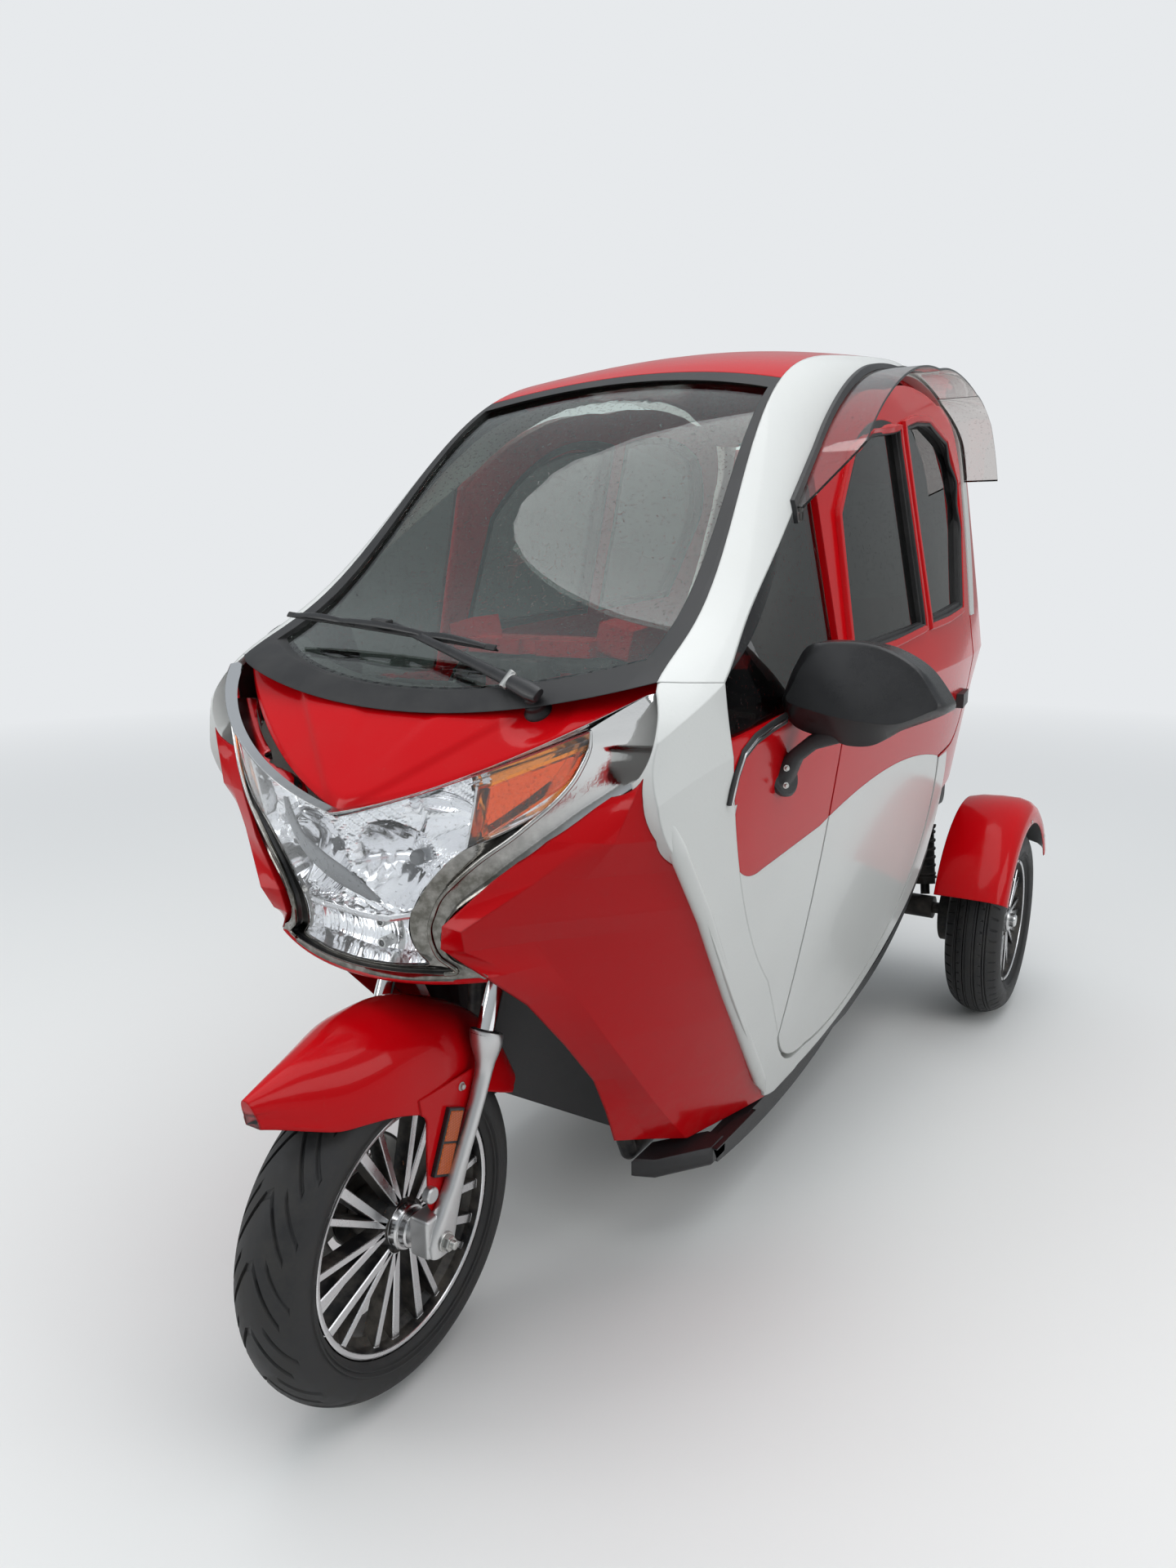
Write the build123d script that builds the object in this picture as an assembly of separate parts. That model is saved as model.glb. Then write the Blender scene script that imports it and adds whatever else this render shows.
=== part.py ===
from build123d import *
import os
from functools import cache
from math import cos, radians, sin

# A closed three-wheeled electric car: one steered wheel in front, two driven wheels behind.
# Millimetres, +Z up, the front looks along -Y and the vehicle's left side is +X.
# The origin is on the ground below the middle of the overall length and width.

# Running gear
FRONT_AXLE_Y = -932
WHEELBASE = 1830
FRONT_TYRE_R = 254
FRONT_TYRE_W = 110
FRONT_RIM_R = 182
RIM_LIP = 8
SPOKE_GROUPS = 5
SPOKE_HALF = 5
REAR_TYRE_R = 249
REAR_TYRE_W = 127
REAR_RIM_R = 160
REAR_TRACK = 916
DRUM_INSET = 80
RAKE = 24
FORK_HALF = 92
STEM_OFFSET = 33
STANCHION_R = 16
LOWER_LEG_R = 23
GUARD_GAP = 39
FENDER_GAP = 46
FENDER_CROWN = 34
FENDER_WALL = 6

# Handlebar
COLUMN = 320
COLUMN_R = 16
BAR_R = 11
GRIP_R = 16
BAR_HALF = 140
GRIP_X = 310
SWEEP_BACK = 170
GRIP_DROP = 74
BAR_Y = -522
BAR_Z = 1022

# Body shell
WALL = 30
GLASS = 5
GLASS_INSET = 9
FLOOR_Z = 214
FLOOR_THICK = 12
LOWER_EDGE_Z = 200
MID_Z = 600
DOOR_FRONT_Y = -269
DOOR_GAP = 6
DOOR_REAR_GAP = 9
SEAL_W = 15
CORNER_BULGE = 0.11
NOSE_R = 442
NOSE_TIP_Y = -990
NOSE_TIP_Z = 868
NOSE_LEAN = 0.156
BONNET_SLOPE = 0.875
BONNET_CROWN = 22
TRIM_PROUD = 6
BULB_X = 70
BULB_Z = 802
VISOR_REACH = 78
VISOR_THICK = 4
MAT_THICK = 3

# Cabin
MIRROR_BACK_Y = -478
SEAT_W = 440
SEAT_FRONT_Y = -72
SEAT_Z = 500
BENCH_W = 560
BENCH_FRONT_Y = 508
CUSHION = 90
CUSHION_ROUND = 25
TUBE_R = 15

REAR_AXLE_Y = FRONT_AXLE_Y + WHEELBASE
GUARD_R = REAR_TYRE_R + GUARD_GAP
CLAMP_UP = 520
CUP_UP = 330
CUP_LONG = 34
SLIDE_DEPTH = 120
FORK_AXLE_R = 8
REAR_SHAFT_R = 15
SPIN_PLAY = 0.05
SHAFT_PLAY = 0.03
STAY_HALF = FORK_HALF - LOWER_LEG_R - 2.5
UP = Vector(0, sin(radians(RAKE)), cos(radians(RAKE)))
AXLE = Vector(0, FRONT_AXLE_Y, FRONT_TYRE_R)
ACROSS = Vector(0, cos(radians(RAKE)), -sin(radians(RAKE)))
STEM = AXLE + UP * CLAMP_UP + ACROSS * STEM_OFFSET
BIG = 3000

# Cabin cross-sections: y, roof crown z, roof edge x and z, shoulder x and z, belt x and z, middle x, bottom x
CABIN = [
    (-877, 974, 322, 968, 372, 944, 385, 880, 352, 262),
    (-732, 1085, 345, 1077, 430, 1037, 430, 935, 376, 288),
    (-482, 1278, 322, 1271, 398, 1170, 436, 948, 384, 298),
    (-192, 1502, 288, 1490, 352, 1366, 435, 950, 386, 300),
    (28, 1566, 284, 1540, 334, 1464, 433, 950, 386, 300),
    (318, 1600, 280, 1574, 318, 1516, 429, 950, 384, 300),
    (618, 1592, 276, 1562, 316, 1498, 414, 950, 372, 292),
    (868, 1530, 264, 1500, 318, 1420, 386, 950, 330, 270),
    (1048, 1440, 250, 1410, 302, 1320, 352, 950, 296, 250),
]

# Rear axle: half length and radius of the tube and of the differential's drum
AXLE_TUBES = [(310, 30), (55, 75)]

# Spokes of one group: where each starts at the hub and ends at the barrel, degrees from the group's middle
SPOKES = [(-10, -25), (-10, -13), (10, 13), (10, 25)]

# Front fender ribs: degrees from level ahead, height over the arch, half width
RIBS = [(140, 56, 46), (118, 28, 74), (97, 14, 80), (76, 10, 66), (60, 8, 65), (44, 8, 62)]

# Nose fairing sections: z, edge x and y, crease x and y, ridge x and y, side x and y, wall
FAIRING = [
    (LOWER_EDGE_Z + 8, 178, -560, 208, -500, 246, -446, 299, -236, 26),
    (330, 189, -624, 214, -592, 244, -560, 327, -349, 26),
    (400, 190, -662, 215, -640, 243, -620, 342, -412, 26),
    (490, 190, -740, 214, -718, 241, -697, 359, -499, 26),
    (589, 190, -834, 212, -806, 236, -777, 375, -593, 26),
    (658, 188, -921, 206, -885, 231, -835, 386, -651, 26),
    (700, 140, -953, 174, -946, 229, -868, 392, -688, 26),
    (733, 147, -957, 181, -961, 246, -886, 397, -714, 26),
    (798, 213, -936, 263, -911, 308, -868, 398, -770, 26),
    (850, 272, -902, 319, -884, 352, -872, 397, -822, 22),
    (905, 338, -853, 356, -858, 372, -862, 392, -844, 14),
    (932, 366, -836, 374, -848, 382, -856, 390, -849, 8),
]

# Side-view outlines: each step is an end point, or a middle and an end point of an arc; y and z
SEAM = (-796, 1041)
LEG_FRONT = [((-854, 948), (-780, 804)), ((-602, 590), (-406, 386)), ((-250, 218),)]
SKIRT_BOTTOM = [((-192, LOWER_EDGE_Z), (-72, 204)), ((288, 262), (513, 372)), ((613, 500), (568, 740))]
RIBBON_TOP = [((464, 740),), ((493, 560), (408, 393)), ((228, 276), (-72, 246))]
COWL_EDGE = [((-406, 511),), ((-612, 740), (-732, 1037))]
LEG_REAR = [((-192, 272), (-258, 337))] + COWL_EDGE
HOOP_EDGE = [((-253, 1342),), ((-2, 1478), (326, 1538)), ((508, 1551), (668, 1529)),
             ((793, 1470), (812, 1330)), ((793, 1170), (758, 1040))]
DOOR = [((DOOR_FRONT_Y, 1312),), ((-72, 1436), (192, 1496)), ((420, 1526), (615, 1510)),
        ((748, 1465), (784, 1330)), ((768, 1170), (734, 1048)), ((730, 930),),
        ((678, 800), (568, 754)), ((458, 748),), ((486, 560), (402, 400)),
        ((223, 284), (-72, 254)), ((-192, 282), (DOOR_FRONT_Y, 352))]
PAINT_LINE = [((-312, 757),), ((-52, 790), (471, 744)), ((628, 700),)]
FRONT_WINDOW = [((-216, 1024),), ((-180, 1262),), ((-72, 1362), (246, 1432)), ((246, 1040),)]
REAR_WINDOW = [((292, 1044),), ((292, 1440),), ((508, 1466), (643, 1436)),
               ((710, 1350), (704, 1240)), ((620, 1064),)]
FAIRING_FOOT = [(-BIG, 300), (-700, 300), (-600, 262), (-446, 213), (-300, 209), (0, 209), (0, 0), (-BIG, 0)]
ROOF_SIDE = [(-432, 1300), (840, 1300), (840, 1700), (-432, 1700)]
SCREEN_SIDE = [(-872, 960), (-112, 960), (-112, 1600), (-872, 1600)]
TAIL_PANEL_Y = 768
SILL = [((-420, 168),), ((-72, 158), (300, 222)), ((520, 330), (634, 478)), ((613, 499),),
        ((513, 370), (288, 260)), ((-72, 202), (-192, 198)), ((-440, 204),)]
VISOR = [((-253, 1350),), ((-2, 1485), (326, 1546)), ((508, 1560), (675, 1535)), ((802, 1478), (838, 1372)),
         ((838, 1200),), ((-386, 1200),)]
VISOR_ABOVE = [(-420, 1225), (-386, 1240), (-240, 1300), (780, 1300), (846, 1366), (846, 1700), (-420, 1700)]
VISOR_PLAN = [(200, -392), (388, -392), (440, -200), (480, 100), (480, 700), (440, 846), (200, 846)]
FLOOR = [(164, -467), (214, -400), (258, -172), (262, 508)]
MIRROR = [(428, 965, 1040, -512), (450, 948, 1066, -545), (500, 938, 1076, -562), (570, 934, 1066, -565),
          (622, 952, 1042, -543), (656, 980, 1006, -498)]
REAR_CUT = [(-BIG, 0), (1018, 0), (1018, 700), (986, 930), (886, 1400), (768, 1960), (768, BIG), (-BIG, BIG)]


def outline(start, steps):
    """A flat face from a start point and steps of one point, a line, or two points, an arc."""
    edges = []
    here = start
    for step in steps:
        if len(step) == 1:
            edges.append(Edge.make_line(here, step[0]))
        else:
            edges.append(Edge.make_three_point_arc(Vector(*here), Vector(*step[0]), Vector(*step[1])))
        here = step[-1]
    if (Vector(*here) - Vector(*start)).length > 0.001:
        edges.append(Edge.make_line(here, start))
    return make_face(edges)


def polygon(points):
    """A flat face through a list of corners."""
    return outline(points[0], [(point,) for point in points[1:]])


def from_side(face, x0=0, x1=BIG):
    """A side-view outline (y, z) carried from x0 to x1."""
    return extrude(Plane.YZ.offset(x0) * face, x1 - x0)


def from_front(face, y0=-BIG, y1=BIG):
    """A front-view outline (x, z) carried from y0 to y1."""
    plane = Plane(origin=(0, y1, 0), x_dir=(1, 0, 0), z_dir=(0, -1, 0))
    return extrude(plane * face, y1 - y0)


def from_top(face, z0, z1):
    """A plan outline (x, y) raised from z0 to z1."""
    return extrude(Plane.XY.offset(z0) * face, z1 - z0)


def block(x0, x1, y0, y1, z0, z1):
    return Pos((x0 + x1) / 2, (y0 + y1) / 2, (z0 + z1) / 2) * Box(x1 - x0, y1 - y0, z1 - z0)


def rod(start, end, radius, bore=0):
    """A round bar or tube between two points."""
    start = Vector(*start)
    end = Vector(*end)
    plane = Plane(origin=start, z_dir=end - start)
    face = Circle(radius) - Circle(bore) if bore else Circle(radius)
    return extrude(plane * face, (end - start).length)


def both(shape):
    """A piece and its mirror image on the other side."""
    return [shape, mirror(shape, Plane.YZ)]


def solids(shape, least=300):
    """The solids of a result, without slivers."""
    found = [solid for solid in shape.solids() if solid.volume > least]
    return found[0] if len(found) == 1 else Compound(found)


def save(name, shape):
    export_step(shape, f"parts/{name}.step")


def save_pair(name, shape):
    """A left piece and its mirrored right twin, as two nodes."""
    left, right = both(shape)
    save("left_" + name, left)
    save("right_" + name, right)


def save_both(name, shape):
    """Two like pieces, left and right, that share a node."""
    save(name, Compound([solid for side in both(shape) for solid in side.solids()]))


def cabin_section(row, inset):
    """One closed cross-section of the cabin, moved inwards by the inset."""
    y, crown, roof_x, roof_z, shoulder_x, shoulder_z, belt_x, belt_z, mid_x, low_x = row
    low_z = LOWER_EDGE_Z - inset
    corners = [
        (roof_x - inset * 0.35, roof_z - inset),
        (shoulder_x - inset * 0.95, shoulder_z - inset * 0.4),
        (belt_x - inset, belt_z),
        (mid_x - inset, MID_Z),
        (low_x - inset, low_z),
    ]
    roof, shoulder, belt, middle, low = corners
    dx = shoulder[0] - roof[0]
    dz = shoulder[1] - roof[1]
    corner = ((roof[0] + shoulder[0]) / 2 - dz * CORNER_BULGE, (roof[1] + shoulder[1]) / 2 + dx * CORNER_BULGE)
    edges = [Edge.make_three_point_arc((-roof[0], y, roof[1]), (0, y, crown - inset), (roof[0], y, roof[1]))]
    edges.append(Edge.make_three_point_arc((roof[0], y, roof[1]), (corner[0], y, corner[1]),
                                           (shoulder[0], y, shoulder[1])))
    edges.append(Edge.make_line((shoulder[0], y, shoulder[1]), (belt[0], y, belt[1])))
    edges.append(Edge.make_three_point_arc((belt[0], y, belt[1]), (middle[0], y, middle[1]),
                                           (low[0], y, low[1])))
    edges.append(Edge.make_line((low[0], y, low[1]), (-low[0], y, low[1])))
    edges.append(Edge.make_three_point_arc((-low[0], y, low[1]), (-middle[0], y, middle[1]),
                                           (-belt[0], y, belt[1])))
    edges.append(Edge.make_line((-belt[0], y, belt[1]), (-shoulder[0], y, shoulder[1])))
    edges.append(Edge.make_three_point_arc((-shoulder[0], y, shoulder[1]), (-corner[0], y, corner[1]),
                                           (-roof[0], y, roof[1])))
    return Wire(edges)


@cache
def cabin(inset):
    """The cabin's envelope, moved inwards by the inset and closed at the sloping back."""
    tube = Solid.make_loft([cabin_section(row, inset) for row in CABIN])
    cut = [(y - inset if y > -BIG else y, z) for y, z in REAR_CUT]
    return tube & from_side(polygon([(cut[0][0], -50)] + [(cut[1][0], -50)] + cut[2:]), -BIG, BIG)


def left_half(shape):
    """What lies on the vehicle's left side."""
    return shape & block(0, BIG, -BIG, BIG, -100, BIG)


def glazing(outline_solid):
    """A thin curved pane, set in behind the skin, inside an outline."""
    return (cabin(GLASS_INSET) - cabin(GLASS_INSET + GLASS)) & outline_solid


def side_faces():
    """The side-view outlines of the panels, as flat faces."""
    faces = {}
    faces["hoop"] = outline((-800, 1041), [((-800, BIG),), ((872, BIG),), ((872, 1400),),
                                           ((880, 1240), (824, 1040)), ((758, 1040),)]
                            + back([(-732, 1037)], HOOP_EDGE) + [((-796, 1041),)])
    faces["leg"] = outline(SEAM, LEG_FRONT + SKIRT_BOTTOM + RIBBON_TOP + LEG_REAR)
    faces["door"] = outline((DOOR_FRONT_Y, 352), DOOR)
    gap = offset(faces["door"], DOOR_GAP, kind=Kind.INTERSECTION)
    faces["opening"] = gap + Pos(DOOR_REAR_GAP, 0) * gap
    faces["below_paint"] = outline((-BIG, 0), [((-BIG, 868),), ((-672, 868),), ((-637, 770), (-542, 742))]
                                   + PAINT_LINE + [((BIG, 700),), ((BIG, 0),)])
    faces["below_belt"] = outline((-BIG, 0), [((-BIG, 960),), ((-712, 960),), ((-432, 976),),
                                              ((DOOR_FRONT_Y, 976),), ((BIG, 976),), ((BIG, 0),)])
    faces["front_window"] = outline(FRONT_WINDOW[0][0], FRONT_WINDOW[1:])
    faces["rear_window"] = outline(REAR_WINDOW[0][0], REAR_WINDOW[1:])
    return faces


def back(start, steps):
    """The same line of steps, walked the other way round."""
    points = [start[0]]
    for step in steps:
        points.append(step[-1])
    result = []
    for i in range(len(steps) - 1, -1, -1):
        if len(steps[i]) == 1:
            result.append((points[i],))
        else:
            result.append((steps[i][0], points[i]))
    return result


def other_side(start, steps):
    """The steps of a right half, mirrored and walked back to the start."""
    return [tuple((-x, z) for x, z in step) for step in back([start], steps)]


def centre_faces():
    """Front-view outlines (x, z) of windscreen, its seal and the roof."""
    glass = outline((-334, 1064), [((0, 1016), (334, 1064)), ((281, 1452),), ((0, 1486), (-281, 1452))])
    seal = outline((-369, 1041), [((0, 988), (369, 1041)), ((290, 1469),), ((0, 1503), (-290, 1469))])
    roof_sides = [((264, 1580),), ((264, BIG),), ((-264, BIG),), ((-264, 1580),)]
    roof = outline((-290, 1469), [((0, 1503), (290, 1469))] + roof_sides)
    screen = outline((-369, 1041), [((0, 988), (369, 1041)), ((290, 1469),)] + roof_sides + [((-290, 1469),)])
    return glass, seal, roof, screen


def roof_panel():
    """The roof's outline as a solid, from the screen's top to the tail."""
    roof = centre_faces()[2]
    return from_front(roof) & from_side(polygon(ROOF_SIDE), -BIG, BIG)


def nose(inset, z0=630, z1=1090):
    """The lamp face: a leaning round front, moved inwards by the inset."""
    radius = NOSE_R - inset
    half_x = 392 - inset * 0.6
    tip_y = NOSE_TIP_Y + inset
    edge_y = tip_y + radius - (radius ** 2 - half_x ** 2) ** 0.5
    face = outline((-half_x, edge_y), [((0, tip_y), (half_x, edge_y)), ((half_x, -652),), ((-half_x, -652),)])
    low = Plane.XY.offset(z0) * Pos(0, (NOSE_TIP_Z - z0) * NOSE_LEAN) * face
    return slanted(low, z0, z1)


def slanted(face, z0, z1):
    """A flat face carried up along the lean of the nose."""
    direction = Vector(0, -NOSE_LEAN, 1)
    length = (z1 - z0) * direction.length
    return extrude(face, length, dir=direction.normalized())


def bonnet_z(y):
    """The height of the bonnet's middle line."""
    return NOSE_TIP_Z + (y - NOSE_TIP_Y) * BONNET_SLOPE


def bonnet_band(drop, thick):
    """The sloping bonnet skin between the lamp tip and the windscreen."""
    wires = []
    for y in (-1017, -732):
        z = bonnet_z(y) - drop
        edge_z = z - BONNET_CROWN
        top = Edge.make_three_point_arc((-400, y, edge_z), (0, y, z), (400, y, edge_z))
        bottom = Edge.make_three_point_arc((400, y, edge_z - thick), (0, y, z - thick), (-400, y, edge_z - thick))
        right = Edge.make_line((400, y, edge_z), (400, y, edge_z - thick))
        left = Edge.make_line((-400, y, edge_z - thick), (-400, y, edge_z))
        wires.append(Wire([top, right, bottom, left]))
    return Solid.make_loft(wires, True)


def lamp_faces():
    """Front-view outlines (x, z) of the lamp lens, the trim round it and the bonnet."""
    lens_right = [((160, 919), (318, 988)), ((303, 932), (264, 884)), ((226, 860), (181, 837)),
                  ((138, 800), (98, 741)), ((92, 706), (116, 671))]
    lens = outline((0, 866), lens_right + [((0, 660), (-116, 671))] + other_side((0, 866), lens_right))
    trim_right = [((190, 932), (374, 1030)), ((392, 985), (376, 932)), ((162, 754),), ((136, 715), (150, 685)),
                  ((190, 657),)]
    trim = outline((0, 872), trim_right + [((0, 640), (-190, 657))] + other_side((0, 872), trim_right))
    bonnet = outline((0, 872), [((190, 932), (374, 1030)), ((369, 1041),), ((0, 988), (-369, 1041)),
                                ((-374, 1030),), ((-190, 932), (0, 872))])
    return lens, trim, bonnet


def front_panels(shell):
    """Windscreen, its seal, roof, bonnet and lamp unit."""
    glass, seal = centre_faces()[:2]
    frame = (shell & from_front(seal - glass)) & from_side(polygon(SCREEN_SIDE), -BIG, BIG)
    save("windscreen", solids(glazing(from_front(glass, -BIG, -202))))
    save("windscreen_seal", solids(frame))
    save("roof", solids(shell & roof_panel()))
    lens, trim, bonnet = lamp_faces()
    save("bonnet", solids(bonnet_band(0, 20) & from_front(bonnet)))
    under_bonnet = polygon([(-1132, 500), (-1132, bonnet_z(-1132)), (-632, bonnet_z(-632)), (-632, 500)])
    save("headlamp_lens", solids((nose(0) - nose(4)) & from_front(lens)))
    rim = ((nose(-TRIM_PROUD) - nose(24)) & from_front(trim - lens)) & from_side(under_bonnet, -BIG, BIG)
    save("lamp_trim", solids(rim).solids().sort_by(SortBy.VOLUME)[-1])
    amber = outline((201, 914), [((303, 961),), ((292, 936), (274, 912)), ((227, 874), (180, 842))])
    pair = (nose(10) - nose(26)) & from_front(amber)
    save_both("turn_signals", pair)
    inner = (nose(26.2) - nose(72)) & from_front(lens)
    for x in (-BULB_X, BULB_X):
        inner -= Pos(x, -924, BULB_Z) * Rotation(90, 0, 0) * Cone(18, 62, 90)
        inner += rod((x, -872, BULB_Z), (x, -934, BULB_Z), 11)
    inner -= block(-92, 92, -BIG, -932, 684, 722)
    save("headlamp_reflector", solids(inner).solids().sort_by(SortBy.VOLUME)[-1])


def side_panels(shell):
    """Hoop, lower frame, cowl, side glass and door of the left side, and their mirrored twins."""
    faces = side_faces()
    seal, roof, screen = centre_faces()[1:]
    left = left_half(shell)
    outside = left - from_front(screen)
    hoop = outside & from_side(faces["hoop"])
    leg = left & from_side(faces["leg"]) - from_side(faces["opening"])
    trim, bonnet = lamp_faces()[1:]
    for face in (trim, bonnet, seal):
        leg -= from_front(face, -BIG, -692)
    hoop -= from_front(bonnet, -BIG, -692)
    save_both("side_hoops", solids(hoop))
    save_both("lower_side_frames", solids(leg))
    cowl = outline((-732, 1037), back([(-258, 337)], COWL_EDGE) + [((-232, 337),), ((-232, 1355),)])
    field = (left & from_side(cowl)) - from_side(faces["opening"]) - from_side(faces["leg"])
    below = from_side(faces["below_paint"])
    belt = from_side(faces["below_belt"])
    save_both("footwell_panels", solids(field & below))
    save_both("cowl_panels", solids((field & belt) - below))
    quarter = (glazing(from_side(cowl)) - from_side(faces["opening"]) - belt) - from_side(faces["leg"])
    save_both("quarter_glasses", solids(quarter))

    windows = [faces["front_window"], faces["rear_window"]]
    door = (left & from_side(faces["door"])) - from_front(screen)
    for face in windows:
        door -= from_side(face)
    save_pair("door_lower", solids(door & below))
    save_pair("door_upper", solids(door - below))
    rings = []
    panes = []
    for face in windows:
        inner = offset(face, -SEAL_W)
        rings += [(left & from_side(face - inner)).solids()[0]]
        panes += [glazing(from_side(inner)).solids()[0]]
    save_pair("window_seals", Compound(rings))
    save_pair("door_glass", Compound(panes))


def rear_panels(shell):
    """Rear quarters and back in one shell, with the back window, lamps and bumper."""
    faces = side_faces()
    behind = outline((464, 640), [((1168, 640),), ((1168, BIG),), ((872, BIG),), ((872, 1400),),
                                  ((880, 1240), (824, 1040)), ((758, 1040),), ((714, 1040),), ((464, 900),)])
    back_shell = (shell & from_side(behind, -BIG, BIG)) - roof_panel()
    for side in both(from_side(faces["opening"])):
        back_shell -= side
    for side in both(from_side(faces["leg"])):
        back_shell -= side
    window = outline((-215, 1080), [((0, 1066), (215, 1080)), ((190, 1350),), ((0, 1366), (-190, 1350))])
    window = from_front(window, TAIL_PANEL_Y, BIG)
    back_shell -= window
    lamp = outline((250, 790), [((318, 790),), ((330, 900),), ((262, 900),)])
    lamp = from_front(lamp, TAIL_PANEL_Y + 100, BIG)
    for side in both(lamp):
        back_shell -= side
    save("rear_body", solids(back_shell))
    save("rear_window", solids(glazing(window)))
    save_both("tail_lamps", (cabin(-8) - cabin(16)) & lamp)
    bumper = outline((966, 470), [((1068, 470),), ((1104, 560), (1048, 638)), ((966, 638),)])
    save("rear_bumper", from_side(bumper, -330, 330))


def fairings():
    """The red fairings that flank the front wheel, each a thin folded skin."""
    wires = []
    for z, edge_x, edge_y, crease_x, crease_y, ridge_x, ridge_y, side_x, side_y, wall in FAIRING:
        points = [(edge_x, edge_y, z), (crease_x, crease_y, z), (ridge_x, ridge_y, z), (side_x, side_y, z),
                  (side_x - wall, side_y + 0.3 * wall, z), (ridge_x - 0.65 * wall, ridge_y + wall, z),
                  (crease_x - 0.5 * wall, crease_y + 1.15 * wall, z), (edge_x + 2, edge_y + 1.3 * wall, z)]
        wires.append(Wire.make_polygon([Vector(*point) for point in points], close=True))
    skin = Solid.make_loft(wires, True)
    skin -= from_side(side_faces()["leg"])
    skin -= from_side(polygon(FAIRING_FOOT), -BIG, BIG)
    skin -= from_front(lamp_faces()[1], -BIG, -632) & nose(-TRIM_PROUD - 1)
    save_both("nose_fairings", solids(skin).solids().sort_by(SortBy.VOLUME)[-1])


def tyre(radius, width, rim_r, centre):
    """A round-shouldered tyre as one turned solid."""
    half_w = width / 2
    crown = radius - half_w * 0.42
    side_r = (crown + rim_r) / 2
    steps = [((-half_w * 1.06, side_r), (-half_w * 0.93, crown)), ((0, radius), (half_w * 0.93, crown)),
             ((half_w * 1.06, side_r), (half_w * 0.82, rim_r))]
    return Pos(*centre) * revolve(outline((-half_w * 0.82, rim_r), steps), Axis.X)


def around(degrees, radius):
    """A point on a circle round the wheel's axle."""
    return Vector(0, cos(radians(degrees)), sin(radians(degrees))) * radius


def rim(rim_r, width, hub_r, centre, side=1):
    """An alloy wheel: barrel, groups of split spokes on the outer face and a hub."""
    half_w = width / 2 * 0.82
    well_r = rim_r - RIM_LIP - 4
    barrel = polygon([(-half_w, rim_r - 0.2), (-half_w, rim_r - RIM_LIP), (-half_w + 10, well_r),
                      (half_w - 10, well_r), (half_w, rim_r - RIM_LIP), (half_w, rim_r - 0.2)])
    wheel = revolve(barrel, Axis.X)
    wheel += Rotation(0, 90, 0) * Cylinder(hub_r, width * 0.78)
    face_x = half_w - 12
    for group in range(SPOKE_GROUPS):
        middle = 360 / SPOKE_GROUPS * group
        for foot, tip in SPOKES:
            start = around(middle + foot, hub_r - 6)
            end = around(middle + tip, rim_r - RIM_LIP - 1)
            wheel += bar(start, end, face_x - 7, face_x + 7, SPOKE_HALF)
    if side < 0:
        wheel = mirror(wheel, Plane.YZ)
    return Pos(*centre) * wheel


def bar(start, end, x0, x1, half_width):
    """A flat spoke in the wheel's plane between two points, from x0 to x1."""
    along = (end - start).normalized()
    off = Vector(0, -along.Z, along.Y) * half_width
    corners = [start + off, end + off, end - off, start - off]
    face = polygon([(corner.Y, corner.Z) for corner in corners])
    return from_side(face, x0, x1)


def wheels():
    front = (0, FRONT_AXLE_Y, FRONT_TYRE_R)
    save("front_tyre", tyre(FRONT_TYRE_R, FRONT_TYRE_W, FRONT_RIM_R, front))
    disc = Pos(-52, FRONT_AXLE_Y, FRONT_TYRE_R) * Rotation(0, 90, 0) * Cylinder(110, 4)
    bore = Pos(*front) * Rotation(0, 90, 0) * Cylinder(FORK_AXLE_R + SPIN_PLAY, 400)
    wheel = rim(FRONT_RIM_R, FRONT_TYRE_W, 30, front) - bore
    save("front_rim", wheel)
    hub_step = Pos(-47, FRONT_AXLE_Y, FRONT_TYRE_R) * Rotation(0, 90, 0) * Cylinder(38, 8)
    save("brake_disc", disc + hub_step - bore)
    for name, side in (("left", 1), ("right", -1)):
        centre = (side * REAR_TRACK / 2, REAR_AXLE_Y, REAR_TYRE_R)
        save(f"rear_{name}_tyre", tyre(REAR_TYRE_R, REAR_TYRE_W, REAR_RIM_R, centre))
        bore = Pos(*centre) * Rotation(0, 90, 0) * Cylinder(REAR_SHAFT_R + SPIN_PLAY, 400)
        save(f"rear_{name}_rim", rim(REAR_RIM_R, REAR_TYRE_W, 34, centre, side) - bore)


def across_axle(half_long, radius):
    """A round bar along the front axle."""
    return rod((-half_long, FRONT_AXLE_Y, FRONT_TYRE_R), (half_long, FRONT_AXLE_Y, FRONT_TYRE_R), radius)


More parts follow.
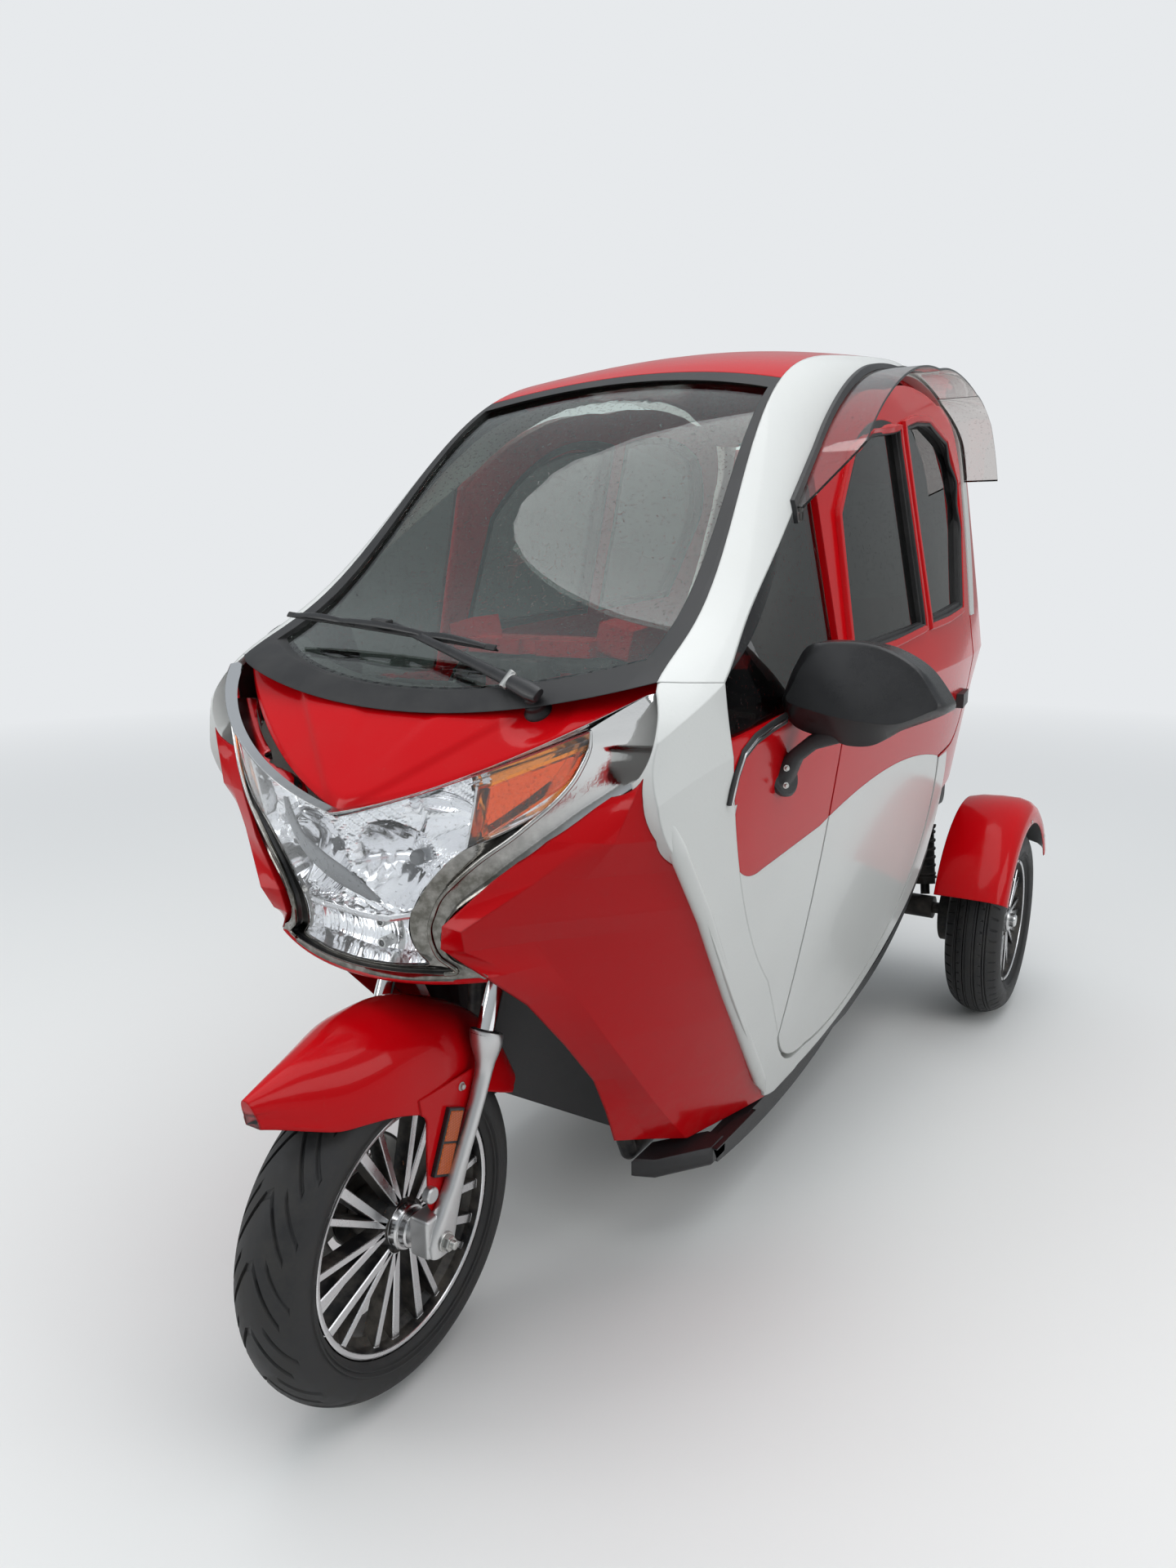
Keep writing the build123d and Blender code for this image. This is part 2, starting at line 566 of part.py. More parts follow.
def fork():
    """The steered fork: lower legs with the axle, and stanchions with clamp and column."""
    lowers = []
    uppers = []
    for side in (1, -1):
        base = AXLE + Vector(side * FORK_HALF, 0, 0)
        leg = rod(base - UP * 4, base + UP * CUP_UP, LOWER_LEG_R - 3)
        leg += rod(base + UP * (CUP_UP - CUP_LONG), base + UP * CUP_UP, LOWER_LEG_R)
        leg += block(side * FORK_HALF - 11, side * FORK_HALF + 11, FRONT_AXLE_Y - 26, FRONT_AXLE_Y + 26,
                     FRONT_TYRE_R - 26, FRONT_TYRE_R + 30)
        leg -= rod(base + UP * (CUP_UP - SLIDE_DEPTH), base + UP * (CUP_UP + 5), STANCHION_R)
        lowers += leg.solids()
        uppers.append(rod(base + UP * (CUP_UP - SLIDE_DEPTH + 0.5), base + UP * (CLAMP_UP + 22), STANCHION_R))
    axle = across_axle(FORK_HALF + 20, FORK_AXLE_R - SHAFT_PLAY)
    nut = across_axle(FORK_HALF + 22, 14) - across_axle(FORK_HALF + 10, 20)
    save("fork_legs", solids(lowers[0] + lowers[1] + axle + nut))
    clamp_at = AXLE + UP * CLAMP_UP
    plane = Plane(origin=clamp_at - UP * 20, x_dir=(1, 0, 0), z_dir=UP)
    clamp_face = SlotOverall(2 * FORK_HALF + 64, 60) + Pos(0, STEM_OFFSET) * Rectangle(80, 60)
    clamp = extrude(plane * clamp_face, 40)
    for upper in uppers:
        clamp += upper
    bar_at = STEM + UP * COLUMN
    column = rod(STEM, bar_at, COLUMN_R)
    save("fork_tubes", solids(clamp + column))
    return bar_at


def handlebar(bar_at):
    """Handlebar with swept-back grips, and its covered centre."""
    tube = rod((-BAR_HALF, BAR_Y, BAR_Z), (BAR_HALF, BAR_Y, BAR_Z), BAR_R)
    for side in (1, -1):
        bend = Vector(side * BAR_HALF, BAR_Y, BAR_Z)
        end = Vector(side * GRIP_X, BAR_Y + SWEEP_BACK, BAR_Z - GRIP_DROP)
        tube += rod(bend, end, BAR_R)
        tube += Pos(*bend) * Sphere(BAR_R)
        tube += rod(bend + (end - bend) * 0.5, end, GRIP_R)
    tube += block(-36, 36, bar_at.Y - 12, BAR_Y + 16, bar_at.Z - 4, BAR_Z + 6)
    tube -= rod(bar_at - UP * 60, bar_at + UP * 60, COLUMN_R)
    save("handlebar", solids(tube))
    cover = block(-118, 118, BAR_Y - 26, BAR_Y + 50, BAR_Z + 12, BAR_Z + 36)
    for side in (1, -1):
        pod = Rotation(0, side * 14, side * 8) * Box(58, 62, 46)
        cover += Pos(side * (BAR_HALF + 2), BAR_Y + 28, BAR_Z + 38) * pod
    save("handlebar_cover", cover - rod(bar_at - UP * 60, bar_at + UP * 60, COLUMN_R + 0.5))


def fender():
    """Front fender: a crowned arch over the wheel with two stays and amber reflectors."""
    wires = []
    for angle, lift, half_w in RIBS:
        out = around(angle, 1)
        centre = AXLE + out * (FRONT_TYRE_R + FENDER_GAP + lift)
        side_out = centre - out * FENDER_CROWN
        wide = Vector(half_w, 0, 0)
        narrow = Vector(half_w - FENDER_WALL, 0, 0)
        outer = Edge.make_three_point_arc(side_out - wide, centre, side_out + wide)
        inner = Edge.make_three_point_arc(side_out + narrow, centre - out * FENDER_WALL, side_out - narrow)
        right = Edge.make_line(side_out + wide, side_out + narrow)
        left = Edge.make_line(side_out - narrow, side_out - wide)
        wires.append(Wire([outer, right, inner, left]))
    arch = Solid.make_loft(wires)
    reflectors = []
    for side in (1, -1):
        stay = polygon([(FRONT_AXLE_Y - 30, FRONT_TYRE_R + 60), (FRONT_AXLE_Y + 28, FRONT_TYRE_R + 60),
                        (FRONT_AXLE_Y + 150, FRONT_TYRE_R + 262), (FRONT_AXLE_Y - 40, FRONT_TYRE_R + 262)])
        arch += from_side(stay, side * STAY_HALF - 2, side * STAY_HALF + 2)
        mirror_x = side * (FORK_HALF + LOWER_LEG_R + 2)
        low = AXLE + UP * 120 - ACROSS * 22
        plane = Plane(origin=low + Vector(mirror_x - 4, 0, 0), x_dir=UP, z_dir=(1, 0, 0))
        reflectors.append(extrude(plane * RectangleRounded(110, 40, 5), 8))
    save("front_fender", solids(arch))
    save("fender_reflectors", Compound(reflectors))


def rear_guards():
    """Domed mudguards over the rear wheels, open underneath."""
    centre_x = REAR_TRACK / 2
    outer = [((-70, GUARD_R - 6), (-30, GUARD_R)), ((20, GUARD_R + 2), (72, GUARD_R - 34)),
             ((67, GUARD_R - 36),)]
    inner = [((20, GUARD_R - 4), (-28, GUARD_R - 6)), ((-66, GUARD_R - 12), (-77, GUARD_R - 40))]
    profile = outline((-82, GUARD_R - 40), outer + inner)
    arch = revolve(profile, Axis.X, 136)
    save_both("rear_mudguards", Pos(centre_x, REAR_AXLE_Y, REAR_TYRE_R) * arch)


def chassis():
    """Ladder frame with the head tube, rear axle, motor, shocks, floor, battery and wheel-arch liner."""
    rail_x = 168
    rail_z = FLOOR_Z - TUBE_R - 1
    head_low = STEM + UP * 40
    head_top = STEM + UP * 190
    head = rod(head_low, head_top, 27, 16.6)
    frame = head
    for side in (1, -1):
        frame += rod((side * rail_x, -512, rail_z), (side * rail_x, 568, rail_z), TUBE_R)
        frame += rod((side * rail_x, 568, rail_z), (side * rail_x, 698, 470), TUBE_R)
        frame += rod((side * rail_x, 698, 470), (side * rail_x, 958, 500), TUBE_R)
        frame += rod((side * rail_x, -512, rail_z), head_low + UP * 75 + Vector(side * 22, 0, 0), TUBE_R)
        frame += Pos(side * rail_x, -512, rail_z) * Sphere(TUBE_R)
        frame += Pos(side * rail_x, 568, rail_z) * Sphere(TUBE_R)
        frame += Pos(side * rail_x, 698, 470) * Sphere(TUBE_R)
    for y, z, end in ((-432, rail_z, rail_x), (68, rail_z, rail_x), (558, rail_z, rail_x), (708, 471, rail_x),
                      (948, 499, 240)):
        frame += rod((-end, y, z), (end, y, z), TUBE_R)
    frame -= rod(head_low - UP * 80, head_top + UP * 10, 16.6)
    save("chassis", solids(frame))
    pan = from_top(polygon(FLOOR + [(-x, y) for x, y in reversed(FLOOR)]), FLOOR_Z, FLOOR_Z + FLOOR_THICK)
    pan += block(-140, 140, -430, -110, FLOOR_Z + FLOOR_THICK - 1, FLOOR_Z + FLOOR_THICK + MAT_THICK)
    save("floor_pan", pan)
    save("battery_pack", block(-200, 200, 18, 468, FLOOR_Z + FLOOR_THICK, 430))
    middle = Vector(0, REAR_AXLE_Y, REAR_TYRE_R)
    drum_x = REAR_TRACK / 2 - DRUM_INSET
    shaft = Vector(REAR_TRACK / 2 + 50, 0, 0)
    axle = rod(middle - shaft, middle + shaft, REAR_SHAFT_R - SHAFT_PLAY)
    for half_long, radius in AXLE_TUBES:
        axle += rod(middle - Vector(half_long, 0, 0), middle + Vector(half_long, 0, 0), radius)
    for side in (1, -1):
        axle += rod(middle + Vector(side * (drum_x - 38), 0, 0), middle + Vector(side * drum_x, 0, 0), 80)
    motor = middle + Vector(0, -155, 15)
    axle += rod(motor - Vector(70, 0, 0), motor + Vector(90, 0, 0), 88)
    save("rear_axle", solids(axle))
    shocks = []
    for side in (1, -1):
        low = Vector(side * 285, REAR_AXLE_Y, REAR_TYRE_R + 34)
        high = Vector(side * 253, REAR_AXLE_Y + 50, 503)
        spring = rod(low + (high - low) * 0.12, low + (high - low) * 0.8, 27)
        spring += rod(low, high, 12)
        shocks.append(spring.solids()[0])
    save("rear_shocks", Compound(shocks))
    liner = polygon([(-856, 640), (-826, 800), (-602, 800), (-504, FLOOR_Z + 14), (-496, FLOOR_Z + 14),
                     (-594, 808), (-832, 808), (-864, 640)])
    arch = from_side(liner, -174, 174) - rod(STEM - UP * 30, STEM + UP * 250, 32)
    for side in (1, -1):
        arch -= rod((side * rail_x, -512, rail_z), head_low + UP * 75 + Vector(side * 22, 0, 0), TUBE_R + 1)
    save("wheel_arch_liner", solids(arch))


def cabin_inside():
    """Driver seat, rear bench and dashboard."""
    base = block(-SEAT_W / 2 + 20, SEAT_W / 2 - 20, SEAT_FRONT_Y + 20, SEAT_FRONT_Y + 440, 430, SEAT_Z)
    cushion = block(-SEAT_W / 2, SEAT_W / 2, SEAT_FRONT_Y, SEAT_FRONT_Y + 430, SEAT_Z, SEAT_Z + CUSHION)
    save("driver_cushion", fillet(cushion.edges(), CUSHION_ROUND))
    rest = block(-SEAT_W / 2, SEAT_W / 2, 0, 80, 0, 430)
    rest = fillet(rest.edges(), CUSHION_ROUND)
    save("driver_backrest", Pos(0, SEAT_FRONT_Y + 440, SEAT_Z + CUSHION - 60) * Rotation(-12, 0, 0) * rest)
    bench_base = block(-BENCH_W / 2, BENCH_W / 2, BENCH_FRONT_Y + 20, 958, 520, SEAT_Z + 40)
    save("seat_bases", Compound([base.solids()[0], bench_base.solids()[0]]))
    bench = block(-BENCH_W / 2, BENCH_W / 2, BENCH_FRONT_Y, 818, SEAT_Z + 40, SEAT_Z + 40 + CUSHION)
    save("bench_cushion", fillet(bench.edges(), CUSHION_ROUND))
    bench_rest = fillet(block(-BENCH_W / 2 + 20, BENCH_W / 2 - 20, 0, 70, 0, 320).edges(), 22)
    save("bench_backrest", Pos(0, 820, SEAT_Z + 120) * Rotation(-8, 0, 0) * bench_rest)
    dash = outline((-707, 900), [((-602, 880),), ((-572, 940), (-612, 985)), ((-707, 1010),)])
    dash = from_side(dash, -330, 330)
    dash -= rod(STEM, STEM + UP * 420, 60)
    save("dashboard", solids(dash))


def mirror_housing():
    """A flattened housing with a flat back for the glass, lofted outwards."""
    wires = []
    for x, low, high, front in MIRROR:
        top = Vector(x, MIRROR_BACK_Y, high)
        bottom = Vector(x, MIRROR_BACK_Y, low)
        bulge = Edge.make_three_point_arc(bottom, Vector(x, front, (low + high) / 2 + 4), top)
        wires.append(Wire([Edge.make_line(top, bottom), bulge]))
    return Solid.make_loft(wires)


def visor_faces():
    """Side-view outlines of a visor and of the strip that holds it."""
    region = outline((-386, 1262), VISOR)
    above = polygon(VISOR_ABOVE)
    sheet = (region - offset(region, -VISOR_THICK)) & above
    strip = (offset(region, 11, kind=Kind.INTERSECTION) - offset(region, 0.5, kind=Kind.INTERSECTION)) & above
    return sheet, strip


def outside_fittings():
    """Mirrors, wiper, rain visors and door handles."""
    arm = rod((426, -508, 872), (470, -520, 902), 14)
    arm += rod((470, -520, 902), (500, -524, 958), 15)
    arm += Pos(470, -520, 902) * Sphere(15)
    arm += rod((424, -508, 870), (442, -508, 870), 26)
    save_both("mirrors", ((arm + mirror_housing()) - cabin(0)).solids().sort_by(SortBy.VOLUME)[-1])
    foot = Vector(218, -832, 1000)
    elbow = foot + Vector(-4, -18, 26)
    knee = Vector(-105, -752, 1096)
    wiper = rod(foot + Vector(0, 14, -20), foot + Vector(0, -14, 18), 24)
    wiper += rod(elbow, knee, 8)
    wiper += Pos(*elbow) * Sphere(17)
    wiper += rod((-325, -740, 1101), (117, -786, 1070), 7)
    wiper = (wiper - bonnet_band(-0.3, 24)) - cabin(-0.3)
    save("wiper", wiper.solids().sort_by(SortBy.VOLUME)[-1])
    handle = block(0, 20, -55, 55, -16, 16)
    lever = Pos(400, 613, 858) * Rotation(0, 0, 8) * handle
    save_pair("door_handle", lever - cabin(0))
    sheet, strip = visor_faces()
    visor = (cabin(-VISOR_REACH) - cabin(-0.4)) & from_side(sheet)
    visor &= from_top(polygon(VISOR_PLAN), 1000, 1800)
    save_both("rain_visors", visor.solids().sort_by(SortBy.VOLUME)[-1])
    band = ((cabin(-7) - cabin(-0.2)) & from_side(strip)) & from_top(polygon(VISOR_PLAN), 1000, 1800)
    save_both("rain_visor_strips", band.solids().sort_by(SortBy.VOLUME)[-1])


def sills(shell):
    """Black sills under the white skirts, down to the ground clearance."""
    face = outline((-440, 204), SILL)
    low = from_side(face, 262, 292) & block(0, BIG, -BIG, BIG, 0, LOWER_EDGE_Z)
    high = (left_half(shell) & from_side(face)) & block(225, BIG, -BIG, BIG, LOWER_EDGE_Z, BIG)
    sill = (low + high) - from_side(side_faces()["leg"])
    save_both("sills", solids(sill).solids().sort_by(SortBy.VOLUME)[-1])


def build():
    os.makedirs("parts", exist_ok=True)
    shell = cabin(0) - cabin(WALL)
    front_panels(shell)
    side_panels(shell)
    rear_panels(shell)
    fairings()
    wheels()
    bar_at = fork()
    handlebar(bar_at)
    fender()
    rear_guards()
    chassis()
    cabin_inside()
    outside_fittings()
    sills(shell)


build()
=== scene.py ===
# %% [markdown]
# # A closed three-wheeled car
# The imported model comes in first, as a fixed frame: every panel, wheel and seat is already in its place, in metres.
# All that follows gives these pieces their finish, or puts a finer piece where a plain one was.
# The car looks along -Y, its left side is +X, and the ground is z = 0.

import bpy
import bmesh
from math import atan2, cos, exp, hypot, pi, radians, sin, sqrt
from mathutils import Matrix, Vector
from mathutils.bvhtree import BVHTree


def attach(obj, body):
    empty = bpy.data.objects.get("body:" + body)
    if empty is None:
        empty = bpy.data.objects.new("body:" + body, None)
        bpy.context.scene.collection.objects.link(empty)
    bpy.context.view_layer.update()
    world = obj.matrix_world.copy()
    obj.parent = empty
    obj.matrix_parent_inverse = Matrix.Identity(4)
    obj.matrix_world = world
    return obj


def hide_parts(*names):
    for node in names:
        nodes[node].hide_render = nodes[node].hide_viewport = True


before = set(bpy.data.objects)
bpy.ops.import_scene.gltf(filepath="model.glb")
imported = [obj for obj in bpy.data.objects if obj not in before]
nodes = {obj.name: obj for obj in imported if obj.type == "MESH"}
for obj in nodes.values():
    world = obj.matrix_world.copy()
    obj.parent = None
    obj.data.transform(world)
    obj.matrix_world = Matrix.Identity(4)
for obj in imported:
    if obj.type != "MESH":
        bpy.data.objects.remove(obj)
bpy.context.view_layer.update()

# %% [markdown]
# ## Camera
# A camera that copies a photograph needs the photograph's place, direction and field of view. These were worked out
# from points whose place on the car is known, such as the tyre's foot and the corners of the windscreen. The lens is
# in millimetres for a sensor that is 36 mm on the picture's long side, which Blender's AUTO fit takes.

# %% Camera
EYE = Vector((1.0017, -1.9736, 1.2033))
TURN, DOWN, ROLL = radians(31.96), radians(12.25), radians(-0.293)
FOCAL_PIXELS, LONG_SIDE_PIXELS, SENSOR = 1331.8, 1920, 36

ahead = Vector((-sin(TURN) * cos(DOWN), cos(TURN) * cos(DOWN), -sin(DOWN)))
right = Vector((cos(TURN), sin(TURN), 0))
up = right.cross(ahead)
across = right * cos(ROLL) + up * sin(ROLL)
upward = up * cos(ROLL) - right * sin(ROLL)
camera = bpy.data.objects.new("camera", bpy.data.cameras.new("camera"))
bpy.context.scene.collection.objects.link(camera)
camera.data.lens = FOCAL_PIXELS / LONG_SIDE_PIXELS * SENSOR
camera.matrix_world = Matrix((across, upward, -ahead)).transposed().to_4x4()
camera.location = EYE
bpy.context.scene.camera = camera
print("lens", round(camera.data.lens, 2), "mm")

# %% [markdown]
# ## Sums on a surface
# A finish is a graph of nodes, and a graph is easier to read as a sum. Wire holds one socket: adding, taking away
# or multiplying wires adds the Math node that does it. Finish holds a material and its shader, and add() makes any
# other node from its type, its settings and its inputs.

# %% Wire and Finish
def plug(tree, socket, value):
    """Links a wire to a socket, or sets a plain value on it."""
    if isinstance(value, Wire):
        tree.links.new(value.socket, socket)
    else:
        socket.default_value = value


class Wire:
    """One socket that gives a number: sums on it add Math nodes."""

    def __init__(self, tree, socket):
        self.tree = tree
        self.socket = socket

    def math(self, operation, first, second, clamp=False):
        made = self.tree.nodes.new("ShaderNodeMath")
        made.operation = operation
        made.use_clamp = clamp
        plug(self.tree, made.inputs[0], first)
        plug(self.tree, made.inputs[1], second)
        return Wire(self.tree, made.outputs[0])

    def __add__(self, other):
        return self.math("ADD", self, other)

    def __radd__(self, other):
        return self.math("ADD", other, self)

    def __sub__(self, other):
        return self.math("SUBTRACT", self, other)

    def __rsub__(self, other):
        return self.math("SUBTRACT", other, self)

    def __mul__(self, other):
        return self.math("MULTIPLY", self, other)

    def within(self):
        """The same number, kept between 0 and 1."""
        return self.math("ADD", self, 0.0, clamp=True)


SHADER_SOCKETS = {"color": "Base Color", "metallic": "Metallic", "roughness": "Roughness", "alpha": "Alpha",
                  "normal": "Normal", "ior": "IOR", "coat": "Coat Weight", "coat_roughness": "Coat Roughness",
                  "transmission": "Transmission Weight", "sheen": "Sheen Weight", "glow": "Emission Color",
                  "glow_strength": "Emission Strength", "specular": "Specular IOR Level"}


class Finish:
    """A material with its shader. add() makes any other node, by type, settings and inputs."""

    def __init__(self, name, **sockets):
        self.material = bpy.data.materials.new(name)
        self.material.use_nodes = True
        self.tree = self.material.node_tree
        self.shader = self.tree.nodes["Principled BSDF"]
        self.place = self.add("TexCoord", out="Object")
        self.set(**sockets)

    def set(self, **sockets):
        for key, value in sockets.items():
            plug(self.tree, self.shader.inputs[SHADER_SOCKETS[key]], value)
        return self

    def add(self, kind, settings=None, inputs=None, out=0):
        made = self.tree.nodes.new("ShaderNode" + kind)
        for key, value in (settings or {}).items():
            setattr(made, key, value)
        for key, value in (inputs or {}).items():
            plug(self.tree, made.inputs[key], value)
        return Wire(self.tree, made.outputs[out])

    def noise(self, scale, detail=3.0, rough=0.55, place=None):
        """A cloudy number from 0 to 1. Scale is in clouds per metre."""
        return self.add("TexNoise", None, {"Vector": place or self.place, "Scale": scale, "Detail": detail,
                                           "Roughness": rough})

    def cells(self, scale):
        """The distance to the edge in a pattern of cells, such as a moulded grain."""
        return self.add("TexVoronoi", {"feature": "DISTANCE_TO_EDGE"}, {"Vector": self.place, "Scale": scale})

    def between(self, value, low, high):
        """0 where the number is under low, 1 over high, and a straight ramp between."""
        return self.add("MapRange", {"clamp": True}, {"Value": value, 1: low, 2: high})

    def mix(self, mask, first, second):
        """The first colour where the mask is 0, and the second where it is 1."""
        return self.add("Mix", {"data_type": "RGBA"}, {0: mask, 6: first, 7: second}, out=2)

    def height(self, place=None):
        """The Z coordinate of a place."""
        return self.add("SeparateXYZ", None, {0: place or self.place}, out="Z")

    def facing_up(self):
        """How far the surface looks upwards, from -1 to 1."""
        return self.height(self.add("TexCoord", out="Normal"))

    def bump(self, height, distance, soft_edge=0.0):
        """A surface relief. Distance is the height in metres of a step from 0 to 1."""
        inputs = {"Height": height, "Distance": distance, "Strength": 1.0}
        if soft_edge:
            inputs["Normal"] = self.add("Bevel", {"samples": 4}, {"Radius": soft_edge})
        return self.set(normal=self.add("Bump", None, inputs, out="Normal"))

    def surface(self, socket):
        """Makes a shader's socket the one that the material shows."""
        self.tree.links.new(socket, self.tree.nodes["Material Output"].inputs["Surface"])


def blend(tree, share, first, second):
    """A mix of two shaders."""
    made = tree.nodes.new("ShaderNodeMixShader")
    plug(tree, made.inputs[0], share)
    tree.links.new(first, made.inputs[1])
    tree.links.new(second, made.inputs[2])
    return made.outputs[0]


def shaded(color, share, lift=0.0):
    """A colour made darker or paler."""
    return [c * share + lift for c in color[:3]] + [1]


print("sockets by short name", len(SHADER_SOCKETS))

# %% [markdown]
# ## Gloss paint
# The panels are moulded plastic with thick gloss paint. Up close such paint isn't a mirror: it has a faint orange
# peel, a film of dust where rain dries, and road dirt low down behind the wheels. The coat is the clear lacquer on
# top. A Bevel node rounds the panels' edges for the light, so that each joint shows a fine bright line.

# %% Gloss paint
ORANGE_PEEL = 0.00012


def gloss_paint(name, color, dusty):
    """Lacquered paint with orange peel, a thin film of dust, and road dirt towards the ground."""
    paint = Finish(name, coat=0.16, coat_roughness=0.03, specular=0.10)
    film = paint.between(paint.noise(7.0, 4.0), 0.48, 0.75) * paint.between(paint.facing_up(), -0.1, 0.9)
    spots = paint.between(paint.noise(160.0, 2.0, 0.7), 0.66, 0.72)
    low = paint.between(paint.height(), 0.50, 0.18) * paint.between(paint.noise(30.0, 5.0, 0.65), 0.45, 0.85)
    dust = (film * 0.06 + spots * 0.08 + low * 0.25).within()
    shade = paint.mix(paint.between(paint.noise(2.2, 2.0), 0.3, 0.7), color, shaded(color, 0.93))
    paint.set(color=paint.mix(dust, shade, dusty), roughness=0.16 + dust * 0.55 + film * 0.05)
    paint.bump(paint.noise(230.0, 1.0, 0.4) + spots * 0.25, ORANGE_PEEL, soft_edge=0.004)
    return paint.material


RED = (0.57, 0.0015, 0.005, 1)
WHITE = (0.76, 0.77, 0.75, 1)
DUST = (0.34, 0.30, 0.25, 1)
red_paint = gloss_paint("red_paint", RED, (0.34, 0.09, 0.07, 1))
white_paint = gloss_paint("white_paint", WHITE, (0.55, 0.51, 0.44, 1))
print("paints", red_paint.name, white_paint.name)

# %% [markdown]
# ## Black plastic and rubber
# Unpainted trim is grained black plastic. Its grain is a pattern of small cells pressed into the mould, and age turns
# its high spots grey. Rubber seals are smoother, with a dull sheen and a little chalk in their colour.

# %% Black plastic and rubber
def grained_plastic(name, color, cell=520.0, depth=0.00018, rough=0.42):
    """Moulded plastic with a leather-like grain, paler where hands and weather wear it."""
    plastic = Finish(name)
    grain = plastic.between(plastic.cells(cell), 0.0, 0.35)
    worn = plastic.between(plastic.noise(9.0, 4.0), 0.45, 0.8)
    plastic.set(color=plastic.mix(worn * 0.6 + (1 - grain) * 0.12, color, shaded(color, 1.9, 0.012)),
                roughness=rough + worn * 0.16 - grain * 0.05)
    plastic.bump(grain, depth, soft_edge=0.002)
    return plastic.material


def seal_rubber(name, color):
    """Extruded rubber: fine lines from the die and a chalky bloom."""
    rubber = Finish(name)
    bloom = rubber.between(rubber.noise(14.0, 5.0, 0.6), 0.42, 0.78)
    fine = rubber.noise(900.0, 1.0)
    rubber.set(color=rubber.mix(bloom * 0.5, color, (0.06, 0.06, 0.058, 1)), roughness=0.5 + bloom * 0.2)
    rubber.bump(fine, 0.00008, soft_edge=0.002)
    return rubber.material


black_plastic = grained_plastic("black_plastic", (0.013, 0.013, 0.014, 1))
smooth_black = grained_plastic("smooth_black", (0.009, 0.009, 0.010, 1), 1400.0, 0.00004, 0.28)
dash_plastic = grained_plastic("dash_plastic", (0.030, 0.031, 0.033, 1), 300.0, 0.0003, 0.5)
matt_grey = grained_plastic("matt_grey", (0.16, 0.165, 0.17, 1), 900.0, 0.00005, 0.5)
rubber_black = seal_rubber("rubber_black", (0.010, 0.010, 0.011, 1))
print("plastics and rubber", black_plastic.name, rubber_black.name)

# %% [markdown]
# ## Glass
# Window glass is thin, so what matters is its tint, the sky on it, and that light gets into the cabin. The shader is
# clear glass for the eye. A Light Path switch turns it into a tinted film for lamp rays, because glass itself would
# keep the seats in the dark.

# %% Glass
def pane(name, tint, rough=0.0, lets=(0.6, 0.62, 0.6, 1)):
    """Clear or smoked glass that lets the lamps through."""
    glass = Finish(name, transmission=1.0, ior=1.45, specular=0.5)
    film = glass.between(glass.noise(11.0, 5.0, 0.65), 0.5, 0.85)
    drops = glass.between(glass.noise(190.0, 0.0), 0.74, 0.77)
    glass.set(color=glass.mix(film * 0.06, tint, (0.62, 0.63, 0.60, 1)), roughness=rough)
    glass.bump(drops, 0.0004)
    film_shader = glass.add("BsdfTransparent", None, {"Color": lets})
    lamp_ray = glass.add("LightPath", out="Is Shadow Ray")
    glass.surface(blend(glass.tree, lamp_ray, glass.shader.outputs[0], film_shader.socket))
    return glass.material


window_glass = pane("window_glass", (0.60, 0.68, 0.64, 1))
dark_glass = pane("dark_glass", (0.050, 0.057, 0.053, 1), lets=(0.30, 0.31, 0.30, 1))
visor_glass = pane("visor_glass", (0.70, 0.66, 0.64, 1), 0.02, (0.75, 0.72, 0.7, 1))
lamp_glass = pane("lamp_glass", (0.97, 0.985, 1.0, 1), 0.0, (0.94, 0.95, 0.96, 1))
amber_glass = pane("amber_glass", (0.98, 0.30, 0.03, 1), 0.03, (0.95, 0.4, 0.08, 1))
red_glass = pane("red_glass", (0.80, 0.02, 0.02, 1), 0.03, (0.8, 0.05, 0.05, 1))
frosted_glass = pane("frosted_glass", (0.86, 0.88, 0.90, 1), 0.35, (0.8, 0.8, 0.8, 1))
print("panes", window_glass.name, lamp_glass.name)

# %% [markdown]
# ## Metals
# Bright trim is chrome on plastic, which is nearly a mirror with fine wipe marks. Machined alloy shows the rings of
# the lathe. Cast alloy on the fork is brushed and dull, and the frame tubes are painted black steel with stone chips.

# %% Metals
def metal(name, color, rough, streak=0.0, wave=0.0, axis="X"):
    """Metal with cloudy roughness, and optionally the fine lines that a brush or a lathe leaves."""
    work = Finish(name, metallic=1.0)
    cloud = work.noise(18.0, 4.0, 0.6)
    height = work.noise(700.0, 1.0) * 0.4
    if streak:
        squeeze = {"X": (streak, 1, 1), "Y": (1, streak, 1), "Z": (1, 1, streak)}[axis]
        lines = work.noise(520.0, 2.0, 0.6, work.add("Mapping", None, {"Vector": work.place, "Scale": squeeze}))
        height = height + lines * 0.6
    dull_and_painted_reflection = work.between(cloud, 0.45, 0.8)
    work.set(color=work.mix(dull_and_painted_reflection * 0.35, color, shaded(color, 0.8)), roughness=rough + dull_and_painted_reflection * 0.12)
    work.bump(height, 0.00005 + wave, soft_edge=0.0015)
    return work.material


def chipped_steel(name, color, rough=0.4):
    """Painted steel with small chips and a brown bloom of rust where the paint is gone."""
    steel = Finish(name, specular=0.3)
    chips = steel.between(steel.noise(95.0, 4.0, 0.7), 0.66, 0.70)
    dirt = steel.between(steel.noise(14.0, 5.0, 0.65), 0.42, 0.75)
    shade = steel.mix(dirt * 0.35, color, DUST)
    steel.set(color=steel.mix(chips, shade, (0.16, 0.07, 0.035, 1)), roughness=rough + dirt * 0.25 + chips * 0.2)
    steel.bump(1 - chips, 0.0002, soft_edge=0.002)
    return steel.material


